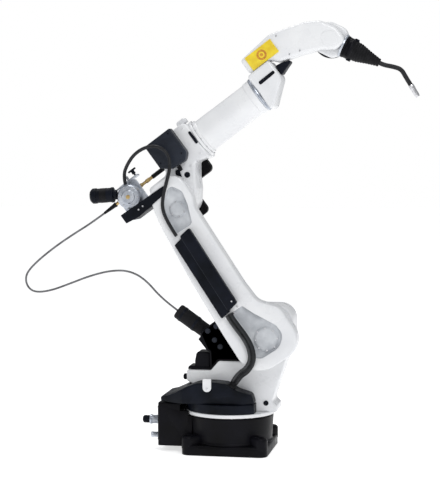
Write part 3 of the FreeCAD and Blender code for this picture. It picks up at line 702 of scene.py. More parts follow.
def hose(name, line, radius, material, bodies, bend_from, bend_to, *nodes):
    """A skin about the line, baked in place in the frame."""
    piece = shade(mesh_piece(name, METRES, carried(line, radius)), material, 60)
    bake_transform(piece)
    if nodes:
        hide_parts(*nodes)
    return piece


# %% Wire conduit
CONDUIT_RADIUS = 0.005
feeder_end = [FOREARM.place((-360.3, 0, 150)), FOREARM.place((-444.6, -4, 150.3)),
              FOREARM.place((-550.3, -12, 158.9)), (-0.886, -0.020, 0.993), (-0.972, -0.026, 0.925),
              (-1.030, -0.030, 0.866)]
SLEEVE_MOUTH = np.array((-0.266, 0, 0.680))
SLEEVE_SLOPE = math.radians(35)
SLEEVE = link_at(SLEEVE_MOUTH, -SLEEVE_SLOPE)
sleeve_end = [(-1.042, -0.030, 0.824), (-1.028, -0.030, 0.784), (-0.991, -0.030, 0.761),
              (-0.912, -0.030, 0.770), (-0.810, -0.030, 0.808), (-0.705, -0.028, 0.849),
              (-0.600, -0.024, 0.876), (-0.510, -0.016, 0.876), (-0.430, -0.008, 0.834),
              SLEEVE.place((-96, 0, 0)), SLEEVE.place((-0.3, 0, 0))]
meeting = (np.array(feeder_end[-1]) + np.array(sleeve_end[0])) / 2
upper_line = smooth_line([*feeder_end, meeting])
lower_line = smooth_line([meeting, *sleeve_end])
upper = hose("wire_conduit_upper", upper_line, CONDUIT_RADIUS, CONDUIT, ("forearm", "lower_arm"),
             feeder_end[1], meeting, "wire_conduit")
lower = hose("wire_conduit_lower", lower_line, CONDUIT_RADIUS, CONDUIT, ("lower_arm", "turret"),
             meeting, sleeve_end[-2], "wire_conduit")
print(f"wire conduit {length_of(upper_line) + length_of(lower_line):.3f} m")

# %% Feeder cable
BESIDE = 1000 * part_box("lower_arm")[0].y
control_route = [
    FOREARM.place((-173.4, -70, 194)), FOREARM.place((-147.9, -98, 231.8)),
    FOREARM.place((-95.7, -140, 255.3)), FOREARM.place((-24.6, -172, 272.3)),
    FOREARM.place((47.9, BESIDE + 6, 261)), FOREARM.place((98.1, BESIDE + 4, 221.3)),
    FOREARM.place((108.6, BESIDE, 161.3)), FOREARM.place((79.3, BESIDE - 12, 108.5)),
    FOREARM.place((27.2, BESIDE - 19, 64.9)), FOREARM.place((-27.7, BESIDE - 19, 21)),
    FOREARM.place((-70.2, BESIDE - 18, -29.7)), ARM.place((-80, BESIDE - 17, ARM_LENGTH - 108)),
    ARM.place((-80, BESIDE - 17, ARM_LENGTH - 177.6))]
control_line = smooth_line(control_route)
hose("elbow_cable_skin", control_line, 0.0085, CORD, ("forearm", "lower_arm"), control_route[7],
     control_route[11], "elbow_cable")
print(f"feeder cable {length_of(control_line):.3f} m")

# %% Hose bundle
SLOPE = math.atan2(31, 52)
GLAND = Link((0.034, 0, 0.3335), (math.cos(SLOPE), 0, -math.sin(SLOPE)),
             (math.sin(SLOPE), 0, math.cos(SLOPE)))
bundle_route = [
    ARM.place((-72, BESIDE - 19, 171.6)), ARM.place((-72, BESIDE - 19, 120)),
    (0.098, (BESIDE - 19) / 1000, 0.592), (0.132, (BESIDE - 19) / 1000, 0.536),
    (0.143, (BESIDE - 19) / 1000, 0.474), (0.117, (BESIDE - 18) / 1000, 0.424),
    GLAND.place((0, -165, 66)), GLAND.place((0, -165, 26.3))]
bundle_line = smooth_line(bundle_route)


def beside_line(line, right, near):
    """The line moved sideways: to the right of its way in the x-z plane, and towards the viewer."""
    way = np.gradient(line, axis=0)
    way /= np.linalg.norm(way, axis=1)[:, None]
    side = np.cross(way, (0, 1, 0))
    side /= np.linalg.norm(side, axis=1)[:, None]
    return line + side * right + np.array((0, -near, 0))


# Two strands take the lighter hose skin as a painted highlight, the third the darker cord skin.
for name, right, near, radius, material in (("hose_left", -0.011, 0.001, 0.0085, HOSE_WITH_HIGHLIGHT),
                                            ("hose_right", 0.0105, 0.003, 0.0095, CORD),
                                            ("hose_behind", 0.0, -0.008, 0.0075, HOSE_WITH_HIGHLIGHT)):
    hose(name, beside_line(bundle_line, right, near), radius, material, ("lower_arm", "turret"),
         bundle_route[1], bundle_route[6], "hose_bundle")
print(f"hose bundle {length_of(bundle_line):.3f} m")

# %% [markdown]
# The foot is a square iron plate with round corners, and on it a slightly conical drum with a soft flare
# where it meets the plate. At each corner a boss for an anchor bolt stands up and runs into the drum. At
# the back hangs the connector box, cut out to clear the turning parts.

# %% Base
def laid(shape):
    """Lay a plate down, so that its outline is in x and y and its thickness is upwards."""
    return np.asarray(shape[0], float)[:, [0, 2, 1]], shape[1]


def square(low_u, high_u, low_v, high_v, radius):
    """A rectangle with four equal corners."""
    return rounded([(low_u, low_v, radius), (high_u, low_v, radius), (high_u, high_v, radius),
                    (low_u, high_v, radius)])


def drum(radius, low, high, count=96):
    """A plain upright cylinder, for cutting."""
    return laid(plate(round_outline(0, 0, radius, count), low, high, 0.01))


FOOT = 210
BOLT = 178
BOLT_HOLE = 9
plate_shape = laid(plate(square(-FOOT, FOOT, -FOOT, FOOT, 42), 0, 50, 3, 16))
bolt_places = [(x, y, 0) for x in (-BOLT, BOLT) for y in (-BOLT, BOLT)]
bore_tool = turned(np.array([(-1, 0), (-1, BOLT_HOLE), (60, BOLT_HOLE), (60, 0)]), 24)
bores = [(moved(bore_tool, "z", place), BLACK) for place in bolt_places]
carved("foot_plate", GROUND, plate_shape, bores, BLACK, "base", "base_plate", soft=1.5)

# %% Anchor bolt bosses
BOSS_RADIUS = 32
BOSS_TOP = 92
BOSS_INSIDE = 196
boss_end = BOLT * math.sqrt(2) + BOSS_RADIUS
boss_corners = np.array([(BOSS_INSIDE, -BOSS_RADIUS), (boss_end, -BOSS_RADIUS), (boss_end, BOSS_RADIUS),
                         (BOSS_INSIDE, BOSS_RADIUS)])
boss_shapes = []
for turn in (45, 135, 225, 315):
    angle = math.radians(turn)
    outward_way = np.array([[math.cos(angle), math.sin(angle)], [-math.sin(angle), math.cos(angle)]])
    corners = [(u, v, radius) for (u, v), radius in zip(boss_corners @ outward_way, (4, 31.5, 31.5, 4))]
    boss_shapes.append(laid(plate(rounded(corners), 30, BOSS_TOP, 1, 14)))
counterbore_tool = turned(np.array([(84, 0), (84, 15), (99, 15), (99, 0)]), 32)
boss_bores = [(moved(counterbore_tool, "z", place), BLACK) for place in bolt_places]
carved("foot_bosses", GROUND, joined(*boss_shapes), boss_bores, BLACK, "base", soft=1.0)
print(len(bolt_places), "anchor bolt bosses")

# %% Drum and connector box
drum_profile = rounded([(50, 0), (50, 214, 3), (62, 205, 12), (172, 212.5, 4), (180, 212.5, 5), (180, 0)],
                       closed=False)
keep("foot_drum", GROUND, moved(turned(drum_profile, 128), "z"), BLACK, "base", "base_drum")
screws("drum_screws", GROUND, "z", ring_places((0, 0, 180), 196, 12, "z", 0.2), 5, STEEL, "base")

box_shape = laid(plate(square(-341, -120, -130, 130, 14), 28, 242, 3, 9))
box_cuts = [(drum(213.4, 0, 300), BLACK), (drum(228, 179, 300), BLACK), (drum(264, 202.2, 300), BLACK),
            (laid(plate(square(-205.5, 50, -150, 150, 2), 0, 50.4, 0.01)), BLACK)]
carved("connector_case", GROUND, box_shape, box_cuts, BLACK, "base", "connector_box", soft=1.5)


def back_plate(low_y, high_y, low_z, high_z, x_near, thick, radius=6):
    """A thin plate standing across x."""
    points, faces = plate(square(low_y, high_y, low_z, high_z, radius), 0, thick, 1.0)
    return np.stack([x_near + points[:, 1], points[:, 0], points[:, 2]], axis=1), faces


keep("connector_panel", GROUND, back_plate(-112, 112, 50, 222, -343.9, 3), PLASTIC, "base")
screws("panel_screws", GROUND, "x", [(-344, y, z) for y in (-104, 104) for z in (58, 214)], -3.2, STEEL,
       "base")
print("drum, connector case and its panel")


# %% Sockets on the connector box
def ribbed(start, end, radius, ribs, depth=1.5):
    """A grip: the radius dips by depth at every rib, as 1 - cos over each rib's length."""
    along = np.linspace(start, end, ribs * 6 + 1)
    wave = 0.5 - 0.5 * np.cos((along - start) / (end - start) * 2 * math.pi * ribs)
    return np.stack([along, radius - depth * wave], axis=1)


def capped(profile):
    """Close a profile with flat ends."""
    return np.concatenate([[(profile[0][0], 0)], profile, [(profile[-1][0], 0)]])


socket = np.concatenate([[(0, 0), (0, 26), (6, 26), (7, 22)], ribbed(9, 45, 22, 6),
                         [(46, 24), (55, 24), (55, 0)]])
keep("power_socket_shell", GROUND, moved(turned(socket), "-x", (-341, -45, 142)), METAL, "base",
     "power_socket")
plug = np.concatenate([[(55, 0), (55, 19)], ribbed(58, 84, 19.5, 5), [(90, 15), (92, 12), (92, 0)]])
keep("power_plug_cap", GROUND, moved(turned(plug), "-x", (-341, -45, 142)), PLASTIC, "base", "power_plug")
signal = np.concatenate([[(0, 0), (0, 17), (6, 17), (7, 14)], ribbed(9, 40, 14, 5), [(50, 14), (50, 0)]])
keep("signal_socket_shell", GROUND, moved(turned(signal), "-x", (-341, -45, 66)), METAL, "base",
     "signal_socket")
print("two sockets, one with its plug in")

# %% [markdown]
# The turret turns on a pale machined ring, which shows as a thin crescent between the black drum and the
# black cover. The casting is one white plate-like shape: a foot, a column with a round head for the
# shoulder, and a low deck behind for the motors.

# %% Turret
TABLE_LOW = 1000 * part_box("turntable")[1].z - 17
TABLE_TOP = TABLE_LOW + 17
TABLE_RADIUS = 220.8
table = rounded([(180.3, 0), (180.3, 130, 1), (TABLE_LOW, 130, 1), (TABLE_LOW, TABLE_RADIUS, 2),
                 (TABLE_TOP, TABLE_RADIUS, 4), (TABLE_TOP, 0)], closed=False)
keep("turn_ring", GROUND, moved(turned(table, 128), "z"), WHITE, "turret", "turntable")

SHOULDER_X, SHOULDER_Z = 180, 585
casting = rounded([
    (-150, 203, 8), (242, 203, 8), (242, 233, 14), (217, 254, 22), (320, 561, 140), (320, 725, 140),
    (40, 725, 140), (40, 560, 60), (70, 480, 20), (70, 446, 9), (-45, 446, 20), (-85, 398, 18),
    (-205, 398, 9), (-205, 345, 14), (-150, 320, 20)])
keep("turret_column", GROUND, plate(casting, -85, 85, 7.5), WHITE, "turret", "turret_casting")
keep("shoulder_rim", GROUND, moved(turned(capped(rounded([(0, 128), (5, 126, 2), (5, 0)], False))),
                                   "y", (SHOULDER_X, 84.9, SHOULDER_Z)), WHITE, "turret")
screws("shoulder_screws", GROUND, "y", ring_places((SHOULDER_X, 89.8, SHOULDER_Z), 112, 10), 7, STEEL,
       "turret")
screws("column_foot_screws", GROUND, "z", [(234, y, 232) for y in (-62, -20, 20, 62)], 5, STEEL, "turret")
tail_plug = rounded([(0, 0), (0, 15, 2), (16, 15, 4), (20, 9, 2), (20, 0)], closed=False)
keep("deck_tail_plug", GROUND, moved(turned(tail_plug, 32), "-x", (-204.9, -58, 362)), PLASTIC, "turret")
print("turning ring, column and shoulder flange")

# %% Turret cover
cover = rounded([
    (-328, 247, 10), (142, 247, 10), (128, 297, 26), (60, 318, 60), (8, 349, 40), (-66, 355, 150),
    (-140, 348, 90), (-194, 326, 60), (-250, 294, 50), (-290, 277, 40), (-328, 271, 14)], steps=9)
slot_cut = plate(square(-205.4, 160, 150, 450, 2), -85.4, 85.4, 0.01)
corner_cuts = []
for side in (-1, 1):
    right = rounded([(62, side * 200), (150, side * 200), (150, side * 138, 5), (110, side * 176, 40)])
    left = rounded([(-330, side * 200), (-330, side * 112), (-300, side * 132, 30), (-205, side * 191, 30),
                    (-200, side * 200)])
    corner_cuts += [laid(plate(right, 200, 400, 0.01)), laid(plate(left, 200, 400, 0.01))]
carved("turret_hood", GROUND, plate(cover, -190, 190, 9),
       [(cut, PLASTIC) for cut in [slot_cut, *corner_cuts]], PLASTIC, "turret", "turret_cover", soft=3)
skirt = laid(plate(round_outline(0, 0, 218, 128), 203.4, 247.5, 2))
carved("turret_skirt", GROUND, skirt,
       [(slot_cut, PLASTIC), (laid(plate(square(142, 260, -260, 260, 1), 150, 300, 0.01)), PLASTIC)],
       PLASTIC, "turret", "turret_cover", soft=1)
tab = rounded([(-104, 373, 6), (-62, 373, 6), (-62, 309, 20.9), (-104, 309, 20.9)])
keep("hood_tab", GROUND, plate(tab, -195, -189.8, 2), WHITE, "turret", "cover_tab")
screws("hood_screws", GROUND, "-y", [(-83, -195, 326)], 4.5, STEEL, "turret")
gland = np.concatenate([[(0.3, 0), (0.3, 22), (8, 22), (9, 18)], ribbed(11, 24, 18.5, 4, 1),
                        [(26, 17), (26, 0)]])
keep("hood_gland", GLAND, moved(turned(gland, 36), "z", (0, -165, 0)), RUBBER, "turret", "cover_gland")
print("hood, skirt, tab and gland")

# %% [markdown]
# Servo motors look alike: a square flange with cut corners, a finned can, a round rear cover, and two
# stubby connectors. One function makes such a motor along y, and the sizes come from each motor's own
# CAD box.

# %% Servo motors
def motor_shape(length, half, flange, at):
    """Along y: a square flange, a can with cooling ribs, and a round rear cover."""
    flange_square, can_square, rib_square = [
        square(-wide * half, wide * half, -wide * half, wide * half, 0.5 * half) for wide in (1, 0.9, 0.95)]
    base = plate(flange_square, 0, flange, 2)
    body = plate(can_square, flange, 0.62 * length, 3)
    rib_at = np.linspace(flange + 0.1 * length, 0.55 * length, 5)
    ribs = [plate(rib_square, place, place + 0.045 * length, 1.5) for place in rib_at]
    rear = rounded([(0.6 * length, 0), (0.6 * length, half * 0.86, 3), (0.96 * length, half * 0.82, 10),
                    (length, half * 0.5, 3), (length, 0)], closed=False)
    points, faces = joined(base, body, *ribs, moved(turned(rear, 40), "y"))
    return points + np.array(at, float), faces


def connector(at, axis, radius=13, length=34):
    """A short plug that stands along an axis: a ribbed grip, then a narrower end."""
    profile = np.concatenate([[(0, 0), (0, radius)], ribbed(3, 0.6 * length, radius, 4, 1.2),
                              [(0.65 * length, radius * 0.8), (length, radius * 0.75), (length, 0)]])
    return moved(turned(profile, 28), axis, at)


keep("elbow_drive", FOREARM, motor_shape(92, 53, 14, (9, 90.3, -92)), BLACK, "forearm", "elbow_motor")
keep("elbow_drive_plugs", FOREARM, joined(*[connector((x, 130, -44), "z", 11, 26) for x in (-12, 24)]),
     METAL, "forearm")
keep("roll_drive", FOREARM, motor_shape(100, 54, 12, (146, 90.3, 63)), BLACK, "forearm", "roll_motor")
keep("roll_drive_plug", FOREARM, connector((146, 136, 112), "z", 11, 26), METAL, "forearm")
print("two motors on the far side")

# %% Shoulder and turret drives
mount = rounded([(-142, 584, 8), (-60, 644, 10), (-42, 648, 8), (66, 470, 8), (66, 446.4, 4), (-46, 446.4, 8),
                 (-87, 398.4, 3), (-91, 488, 6), (-104, 498, 20), (-132, 560, 14)])
keep("shoulder_drive", GROUND, joined(
    plate(mount, -80, -16, 8), plate(square(-88, 26, 472, 590, 16), -14.7, 12, 3),
    plate(square(-85, 22, 476, 586, 14), 12, 96, 4),
    *[plate(square(-87, 25, 473, 589, 15), y, y + 5, 1.5) for y in (26, 40, 54, 68, 82)],
    plate(round_outline(-31, 531, 50), 94, 110, 3), plate(round_outline(-31, 531, 46), 108, 160, 12)),
    BLACK, "turret", "shoulder_motor")
keep("shoulder_drive_plugs", GROUND, joined(
    *[connector((x, -78, z), "-y", 13, 12) for x, z in ((-100, 592), (-58, 616), (-66, 548), (-38, 516))]),
    SLATE, "turret")
turn_body = rounded([(-170, 398.2, 4), (-93, 398.2, 4), (-93, 484, 14), (-162, 484, 16), (-170, 440, 12)])
keep("turn_drive", GROUND, joined(
    plate(turn_body, -55, 55, 8), plate(rounded([(-204, 398.2, 3), (-165, 398.2, 3), (-165, 415, 4),
                                                 (-200, 415, 8)]), -60, 40, 4),
    plate(rounded([(-190, 398.2, 3), (-89, 398.2, 3), (-89, 409, 3), (-190, 409, 3)]), -66, 66, 2)),
    BLACK, "turret", "turn_motor")
screws("turn_drive_screws", GROUND, "z", [(-180, y, 408.5) for y in (-57, 57)], 5, PLASTIC, "turret")
print("shoulder drive and turret drive")

# %% Conduit sleeve
sleeve = rounded([(0, 0), (0, 9), (-1, 12, 2), (0, 34, 5), (9, 38, 2), (120, 38, 2), (126, 36, 2),
                  (172, 36, 2), (172, 0)], closed=False)
keep("conduit_sleeve_shell", SLEEVE, turned(sleeve, 56), RUBBER, "turret", "conduit_sleeve")
band = rounded([(0, 34), (0, 39.5, 1), (12, 39.5, 1), (12, 34)], closed=False)
keep("sleeve_bands", SLEEVE, joined(*[moved(turned(capped(band)), "x", (at, 0, 0)) for at in (26, 104)]),
     PLASTIC, "turret")
print("sleeve with two bands")

# %% [markdown]
# The lower arm is one long casting on the near side. Its front is flat, with a wide shallow recess round
# each joint that saves weight, and the recess floors are painted greyer than the face, as painted shade.
# Between them a black cover of two facets hides the cables. The recesses are cut out, and their rims
# softened, as a mould would.

# %% Lower arm
ARM_FAR = 1000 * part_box("lower_arm")[1].y
TIP = ARM_LENGTH
arm_outline = rounded([
    (-155, -155, 150), (155, -155, 150), (152, 66, 70), (74, 156, 80), (65, 260, 200), (65, TIP - 108, 80),
    (88, TIP - 50, 60), (88, TIP + 88, 88), (-80, TIP + 88, 88), (-112, TIP - 15, 70), (-125, TIP - 90, 120),
    (-147, 400, 300), (-155, 100, 200)], steps=12)


def dish(corners, depth, soft=12):
    """A tool for a recess: an outline that goes in to depth, with a round foot of radius soft."""
    return plate(rounded(corners, steps=9), BESIDE - 6, BESIDE + depth, 0.01, soft)


# The recess tools pass their finish to the walls and floors they cut: a darker grey that is painted shade.
low_dish = dish([(-74, 168, 12), (-62, 20, 60), (-94, -58, 24), (-58, -92, 34), (44, -92, 70), (94, -50, 60),
                 (90, 6, 60), (30, 110, 60), (2, 170, 12)], 20, 17)
high_dish = dish([(-92, TIP - 166, 16), (14, TIP - 168, 20), (46, TIP - 76, 60), (58, TIP - 10, 40),
                  (22, TIP + 46, 22), (-56, TIP - 10, 40)], 20, 17)
carved("lower_arm_casting", ARM, plate(arm_outline, BESIDE, ARM_FAR, 11, 11),
       [(low_dish, RECESS_SHADE), (high_dish, RECESS_SHADE)], WHITE, "lower_arm", "lower_arm", soft=4)


def boss_on(floor_y, x, z, size):
    """A low round boss on a recess floor, its face towards the viewer."""
    profile = rounded([(-1, size + 6), (2, size + 4, 3), (9, size - 6, 8), (11, 0.4 * size, 12), (11.5, 0)],
                      closed=False)
    return moved(turned(capped(profile), 56), "-y", (x, floor_y, z))


# The bosses down on the recess floors take the same darker grey, painted shade.
keep("shoulder_boss", ARM, boss_on(BESIDE + 20, 10, -26, 56), RECESS_SHADE, "lower_arm")
keep("elbow_boss", ARM, boss_on(BESIDE + 20, -12, TIP - 70, 36), RECESS_SHADE, "lower_arm")
screws("shoulder_boss_screws", ARM, "-y", ring_places((10, BESIDE + 14, -26), 54, 8, start=0.3), 4.5, STEEL,
       "lower_arm")
screws("elbow_boss_screws", ARM, "-y", ring_places((-12, BESIDE + 14, TIP - 70), 35, 6, start=0.2), 4,
       STEEL, "lower_arm")
print("lower arm with two recesses and their bosses")

# %% Cable channel
face = BESIDE - 0.3
left_strip = rounded([(-112, 172, 5), (-60, 180, 4), (-60, 602, 4), (-112, 590, 5)])
right_strip = rounded([(-63, 184, 3), (-6, 197, 7), (-6, 622, 7), (-63, 612, 3)])
keep("channel_low_facet", ARM, plate(left_strip, face - 24, face, 5, 1), PLASTIC, "lower_arm",
     "cable_channel")
keep("channel_high_facet", ARM, plate(right_strip, face - 31.7, face, 4, 1), PLASTIC, "lower_arm",
     "cable_channel")
bead = rounded([(-65.5, 190, 1), (-61.5, 190, 1), (-61.5, 606, 1), (-65.5, 606, 1)])
keep("channel_bead", ARM, plate(bead, face - 28, face - 20, 1.2), SLATE, "lower_arm")
screws("channel_screws", ARM, "-y",
       [(-18, face - 31.5, z) for z in (400, 604)] + [(-100, face - 23.8, z) for z in (192, 380, 572)],
       3.6, PLASTIC, "lower_arm")
screws("channel_foot_screw", ARM, "-y", [(-22, face - 31.5, 216)], 4, STEEL, "lower_arm")
clip = joined(plate(square(-100, -44, 158, 170, 3), BESIDE - 3, BESIDE, 0.8),
              plate(round_outline(-18, 180, 4.5, 24), BESIDE - 5, BESIDE, 1.5))
keep("hose_clip", ARM, clip, STEEL, "lower_arm")
print("cable channel of two facets, and the hose clip")

# %% [markdown]
# The elbow casting joins a round hub to a block that holds the forearm tube. The near face carries the
# dark elbow box, a round plug in a counterbore, and a black service mark. The box is a thin moulded cover
# with one big round corner.

# %% Elbow
HALF = 90
HEAD_TOP = OFFSET + 107
elbow_outline = rounded([
    (-110, -110, 110), (44, -110, 70), (105, -36, 60), (133, 14, 60), (176, 75, 22), (214, 61, 22),
    (250, 51, 9), (250, HEAD_TOP, 28), (40, HEAD_TOP, 30), (28.4, 106, 26), (-90, 104, 20),
    (-110, 20, 90)], steps=12)
PLUG = (107, 45)
counterbore = (plate(round_outline(*PLUG, 14.6, 40), -HALF - 5, -HALF + 8, 0.01), WHITE)
carved("elbow_shell", FOREARM, plate(elbow_outline, -HALF, HALF, 11), [counterbore], WHITE, "forearm",
       "elbow_casting", soft=1.5)
plug_cap = rounded([(0, 0), (0, 13.6, 1), (7.6, 13.6, 2), (7.6, 9, 1), (6, 8, 1), (6, 0)], closed=False)
keep("elbow_plug_cap", FOREARM, moved(turned(plug_cap, 40), "-y", (PLUG[0], -HALF + 8, PLUG[1])), PLASTIC,
     "forearm", "elbow_plug")
mark = rounded([(62, 42, 6), (78, 44, 6), (92, 88, 6), (76, 98, 6), (64, 84, 8)])
keep("elbow_service_cover", FOREARM, plate(mark, -HALF - 4, -HALF + 0.5, 1.2), PLASTIC, "forearm")
screws("elbow_face_screws", FOREARM, "-y", [(150, -HALF, 70), (186, -HALF, 66), (222, -HALF, 90),
                                            (222, -HALF, 240)], 5, WHITE, "forearm")
slot_shape = rounded([(232, 138, 6.5), (246, 138, 6.5), (246, 208, 6.5), (232, 208, 6.5)])
keep("elbow_slot", FOREARM, plate(slot_shape, -HALF - 5, -HALF - 0.2, 2), PLASTIC, "forearm", "slot_cover")
lug = rounded([(196, HEAD_TOP + 0.3, 4), (250, HEAD_TOP + 0.3, 4), (250, HEAD_TOP + 28, 15),
               (196, HEAD_TOP + 28, 15)])
keep("lifting_eye", FOREARM, plate(lug, -20, 20, 5), WHITE, "forearm", "lifting_lug")
print("elbow casting, plug, slot and lifting eye")

# %% Elbow box
BOX_NEAR = 1000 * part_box("elbow_box")[0].y
box_outline = rounded([(27, 142, 8), (70, 108, 12), (150, 100, 26), (180, 128, 26), (180, 272, 6),
                       (27, 272, 6)], steps=9)
keep("elbow_cover", FOREARM, plate(box_outline, BOX_NEAR, -HALF - 0.3, 7, 1), SLATE, "forearm", "elbow_box")
lid = rounded([(38, 152, 8), (76, 120, 12), (146, 114, 18), (168, 136, 18), (168, 262, 6), (38, 262, 6)])
keep("elbow_cover_lid", FOREARM, plate(lid, BOX_NEAR - 2.5, BOX_NEAR + 2, 1.6), SLATE, "forearm")
screws("elbow_cover_screws", FOREARM, "-y", [(x, BOX_NEAR - 2.4, z) for x, z in
                                             ((46, 254), (160, 254), (46, 160), (158, 138))], 3.6, PLASTIC,
       "forearm")
keep("elbow_cover_gland", FOREARM, connector((104, BOX_NEAR + 24, 100), "-z", 11, 26), RUBBER, "forearm")
print("elbow box, its lid and its gland")

# %% [markdown]
# The forearm is a plain round tube between two flanges. Its root has a stepped collar with a ring of
# screws, its front a grey machined ring where the wrist turns. Turned profiles with small fillets give it
# the lines that catch the light.

# %% Forearm tube
tube_profile = rounded([
    (264.2, 0), (264.2, 92, 3), (276, 92, 4), (280, 84.2, 10), (570, 83.6, 4), (576, 88, 4), (606, 88, 3),
    (606, 0)], closed=False)
keep("forearm_pipe", FOREARM, moved(turned(tube_profile, 96), "x", (0, 0, OFFSET)), WHITE, "forearm",
     "forearm_tube")
collar_profile = rounded([(250.3, 0), (250.3, 100, 2), (260, 100, 3), (264, 97, 2), (264, 0)], closed=False)
keep("pipe_collar", FOREARM, moved(turned(collar_profile, 96), "x", (0, 0, OFFSET)), WHITE, "forearm",
     "tube_collar")
ring_profile = rounded([(606.3, 0), (606.3, 90, 2), (613, 92, 1), (614, 88, 1), (616, 88, 1), (617, 92, 1),
                        (622.7, 90, 2), (622.7, 0)], closed=False)
keep("wrist_ring", FOREARM, moved(turned(ring_profile, 96), "x", (0, 0, OFFSET)), METAL, "forearm",
     "roll_ring")
screws("collar_screws", FOREARM, "x", ring_places((264, 0, OFFSET), 95.2, 12, "x", 0.13), 3.4, STEEL,
       "forearm")
print("tube, collar and wrist ring")

# %% [markdown]
# The wire feeder hangs on a bracket behind the elbow: a black motor, a round grey gearbox, a silver plate
# with two pairs of rollers, a sprung pressure arm with a black knob, and brass fittings where the wire goes
# in and out. It is small, but full of metal, so it gets the most separate parts.

# %% Wire feeder
def risen(shape, at_x, at_z, rise):
    """A shape made along x, turned up by rise and put at (at_x, at_z):
    x = at_x + x cos(rise) - z sin(rise), z = at_z + x sin(rise) + z cos(rise)."""
    points = np.asarray(shape[0], float)
    x = at_x + points[:, 0] * math.cos(rise) - points[:, 2] * math.sin(rise)
    z = at_z + points[:, 0] * math.sin(rise) + points[:, 2] * math.cos(rise)
    return np.stack([x, points[:, 1], z], axis=1), shape[1]


WIRE = 150
GEAR_RISE = math.radians(147.6)
MOTOR_SHIFT = (0, -76, 0)
motor = rounded([
    (50.7, 0), (50.7, 24, 1), (64, 24, 1), (66, 38, 3), (78, 38, 2), (80, 35.5, 1), (150, 35.5, 1),
    (152, 38, 2), (172, 38, 9), (184, 26, 6), (184, 0)], closed=False)
keep("feed_motor_can", FOREARM, risen(moved(turned(motor, 56), "x", MOTOR_SHIFT), -194, WIRE, GEAR_RISE),
     PLASTIC, "forearm", "feeder_motor")
label_band = rounded([(100, 34), (100, 36.2, 1), (134, 36.2, 1), (134, 34)], closed=False)
keep("feed_motor_band", FOREARM, risen(moved(turned(capped(label_band), 56), "x", MOTOR_SHIFT), -194, WIRE,
                                       GEAR_RISE), RUBBER, "forearm")
gear = rounded([(-100, 0), (-100, 30, 3), (-94, 34, 3), (-92, 52, 3), (-86, 58, 5), (-60, 60, 3),
                (-56, 57, 2), (-52, 60, 2), (-36, 60, 2), (-36, 0)], closed=False)
keep("feed_gear_case", FOREARM, moved(turned(gear, 72), "y", (-194, 0, WIRE - 18)), METAL, "forearm",
     "feeder_gearbox")
screws("feed_gear_screws", FOREARM, "-y", ring_places((-194, -91, WIRE - 18), 46, 6, start=0.4), 4, STEEL,
       "forearm")
keep("feed_gear_plug", FOREARM, connector((-194, -99, WIRE - 18), "-y", 10, 7), BRASS, "forearm")
print("feeder motor and gearbox")

# %% Feeder bracket
STRIP_NEAR = BESIDE - 7.5
bracket_shape = rounded([(-262, 48, 3), (-240, 25, 3), (-107.6, 25, 3), (-97.4, 71.5, 3), (-262, 71.5, 5)])
keep("feed_bracket", FOREARM, plate(bracket_shape, -88, 50, 4), PLASTIC, "forearm", "feeder_bracket")
arm_strip = rounded([(-256, 22, 3), (-182, 10, 20), (-24, 26, 6), (6, 50, 8), (-2, 60, 6), (-256, 70, 3)])
strip_web = rounded([(-256, 30, 1), (-251, 30, 1), (-251, 69, 1), (-256, 69, 1)])
keep("feed_bracket_strip", FOREARM, joined(plate(arm_strip, STRIP_NEAR, BESIDE - 3.5, 1),
                                           plate(strip_web, BESIDE - 6, -86, 1)), PLASTIC, "forearm")
screws("feed_strip_screws", FOREARM, "-y", [(-166, STRIP_NEAR, 40), (-140, STRIP_NEAR, 41)], 4.5, STEEL,
       "forearm")
screws("feed_bracket_screws", FOREARM, "-y", [(x, -88, 48) for x in (-236, -206)], 4.5, STEEL, "forearm")
side_plate = rounded([(-258, 72, 12), (-123, 72, 12), (-123, 196, 16), (-200, 196, 8), (-258, 176, 16)])
keep("feed_plate", FOREARM, plate(side_plate, -36, -28, 1.5), METAL, "forearm", "feeder_plate")
print("bracket, its strip to the elbow, and the plate")

# %% Feeder rollers and pressure arm
for index, (x, side) in enumerate([(-216, -1), (-216, 1), (-160, -1), (-160, 1)]):
    roller = rounded([(-14, 0), (-14, 6), (-7, 6), (-7, 17, 1), (-2, 17, 0.5), (0, 15.4, 1), (2, 17, 0.5),
                      (7, 17, 1), (7, 9), (11, 8, 1), (11, 0)], closed=False)
    keep(f"feed_roller_{index}", FOREARM, moved(turned(roller, 40), "y", (x, 0, WIRE + side * 18)), STEEL,
         "forearm", "drive_rollers")
bar = square(-246, -132, 124.7, 141.3, 3)
keep("feed_roller_bar", FOREARM, plate(bar, -28, -14, 1.5), METAL, "forearm", "drive_rollers")
lever = rounded([(-240, 196.3, 2), (-104, 196.3, 3), (-104, 206, 3), (-180, 206, 3), (-240, 202, 2)])
keep("feed_pressure_lever", FOREARM, plate(lever, -36, 8, 1.5), METAL, "forearm", "pressure_arm")
knob = np.concatenate([[(206, 0), (206, 5), (216, 5)], ribbed(217, 234, 10, 1, 1.5),
                       [(236, 11), (240, 10), (242, 0)]])
keep("feed_knob", FOREARM, joined(moved(turned(knob, 32), "z", (-118, -14, 0)),
                                  plate(square(-140, -96, 232, 241, 4), -20, -8, 3)), PLASTIC, "forearm",
     "tension_knob")
SPRING_COILS = 6
SPRING_RISE = 3.4 / 6.28
spring_turn = np.linspace(0, 2 * math.pi * SPRING_COILS, 120)
spring = np.stack([-160 + 6 * np.cos(spring_turn), -14 + 6 * np.sin(spring_turn),
                   207 + SPRING_RISE * spring_turn], axis=1)
rod = rounded([(206, 0), (206, 4), (230, 4, 1), (230, 0)], closed=False)
keep("feed_spring", FOREARM, joined(carried(spring, 1.4, 8), moved(turned(rod, 20), "z", (-160, -14, 0))),
     STEEL, "forearm")
print("four rollers, pressure arm, knob and spring")

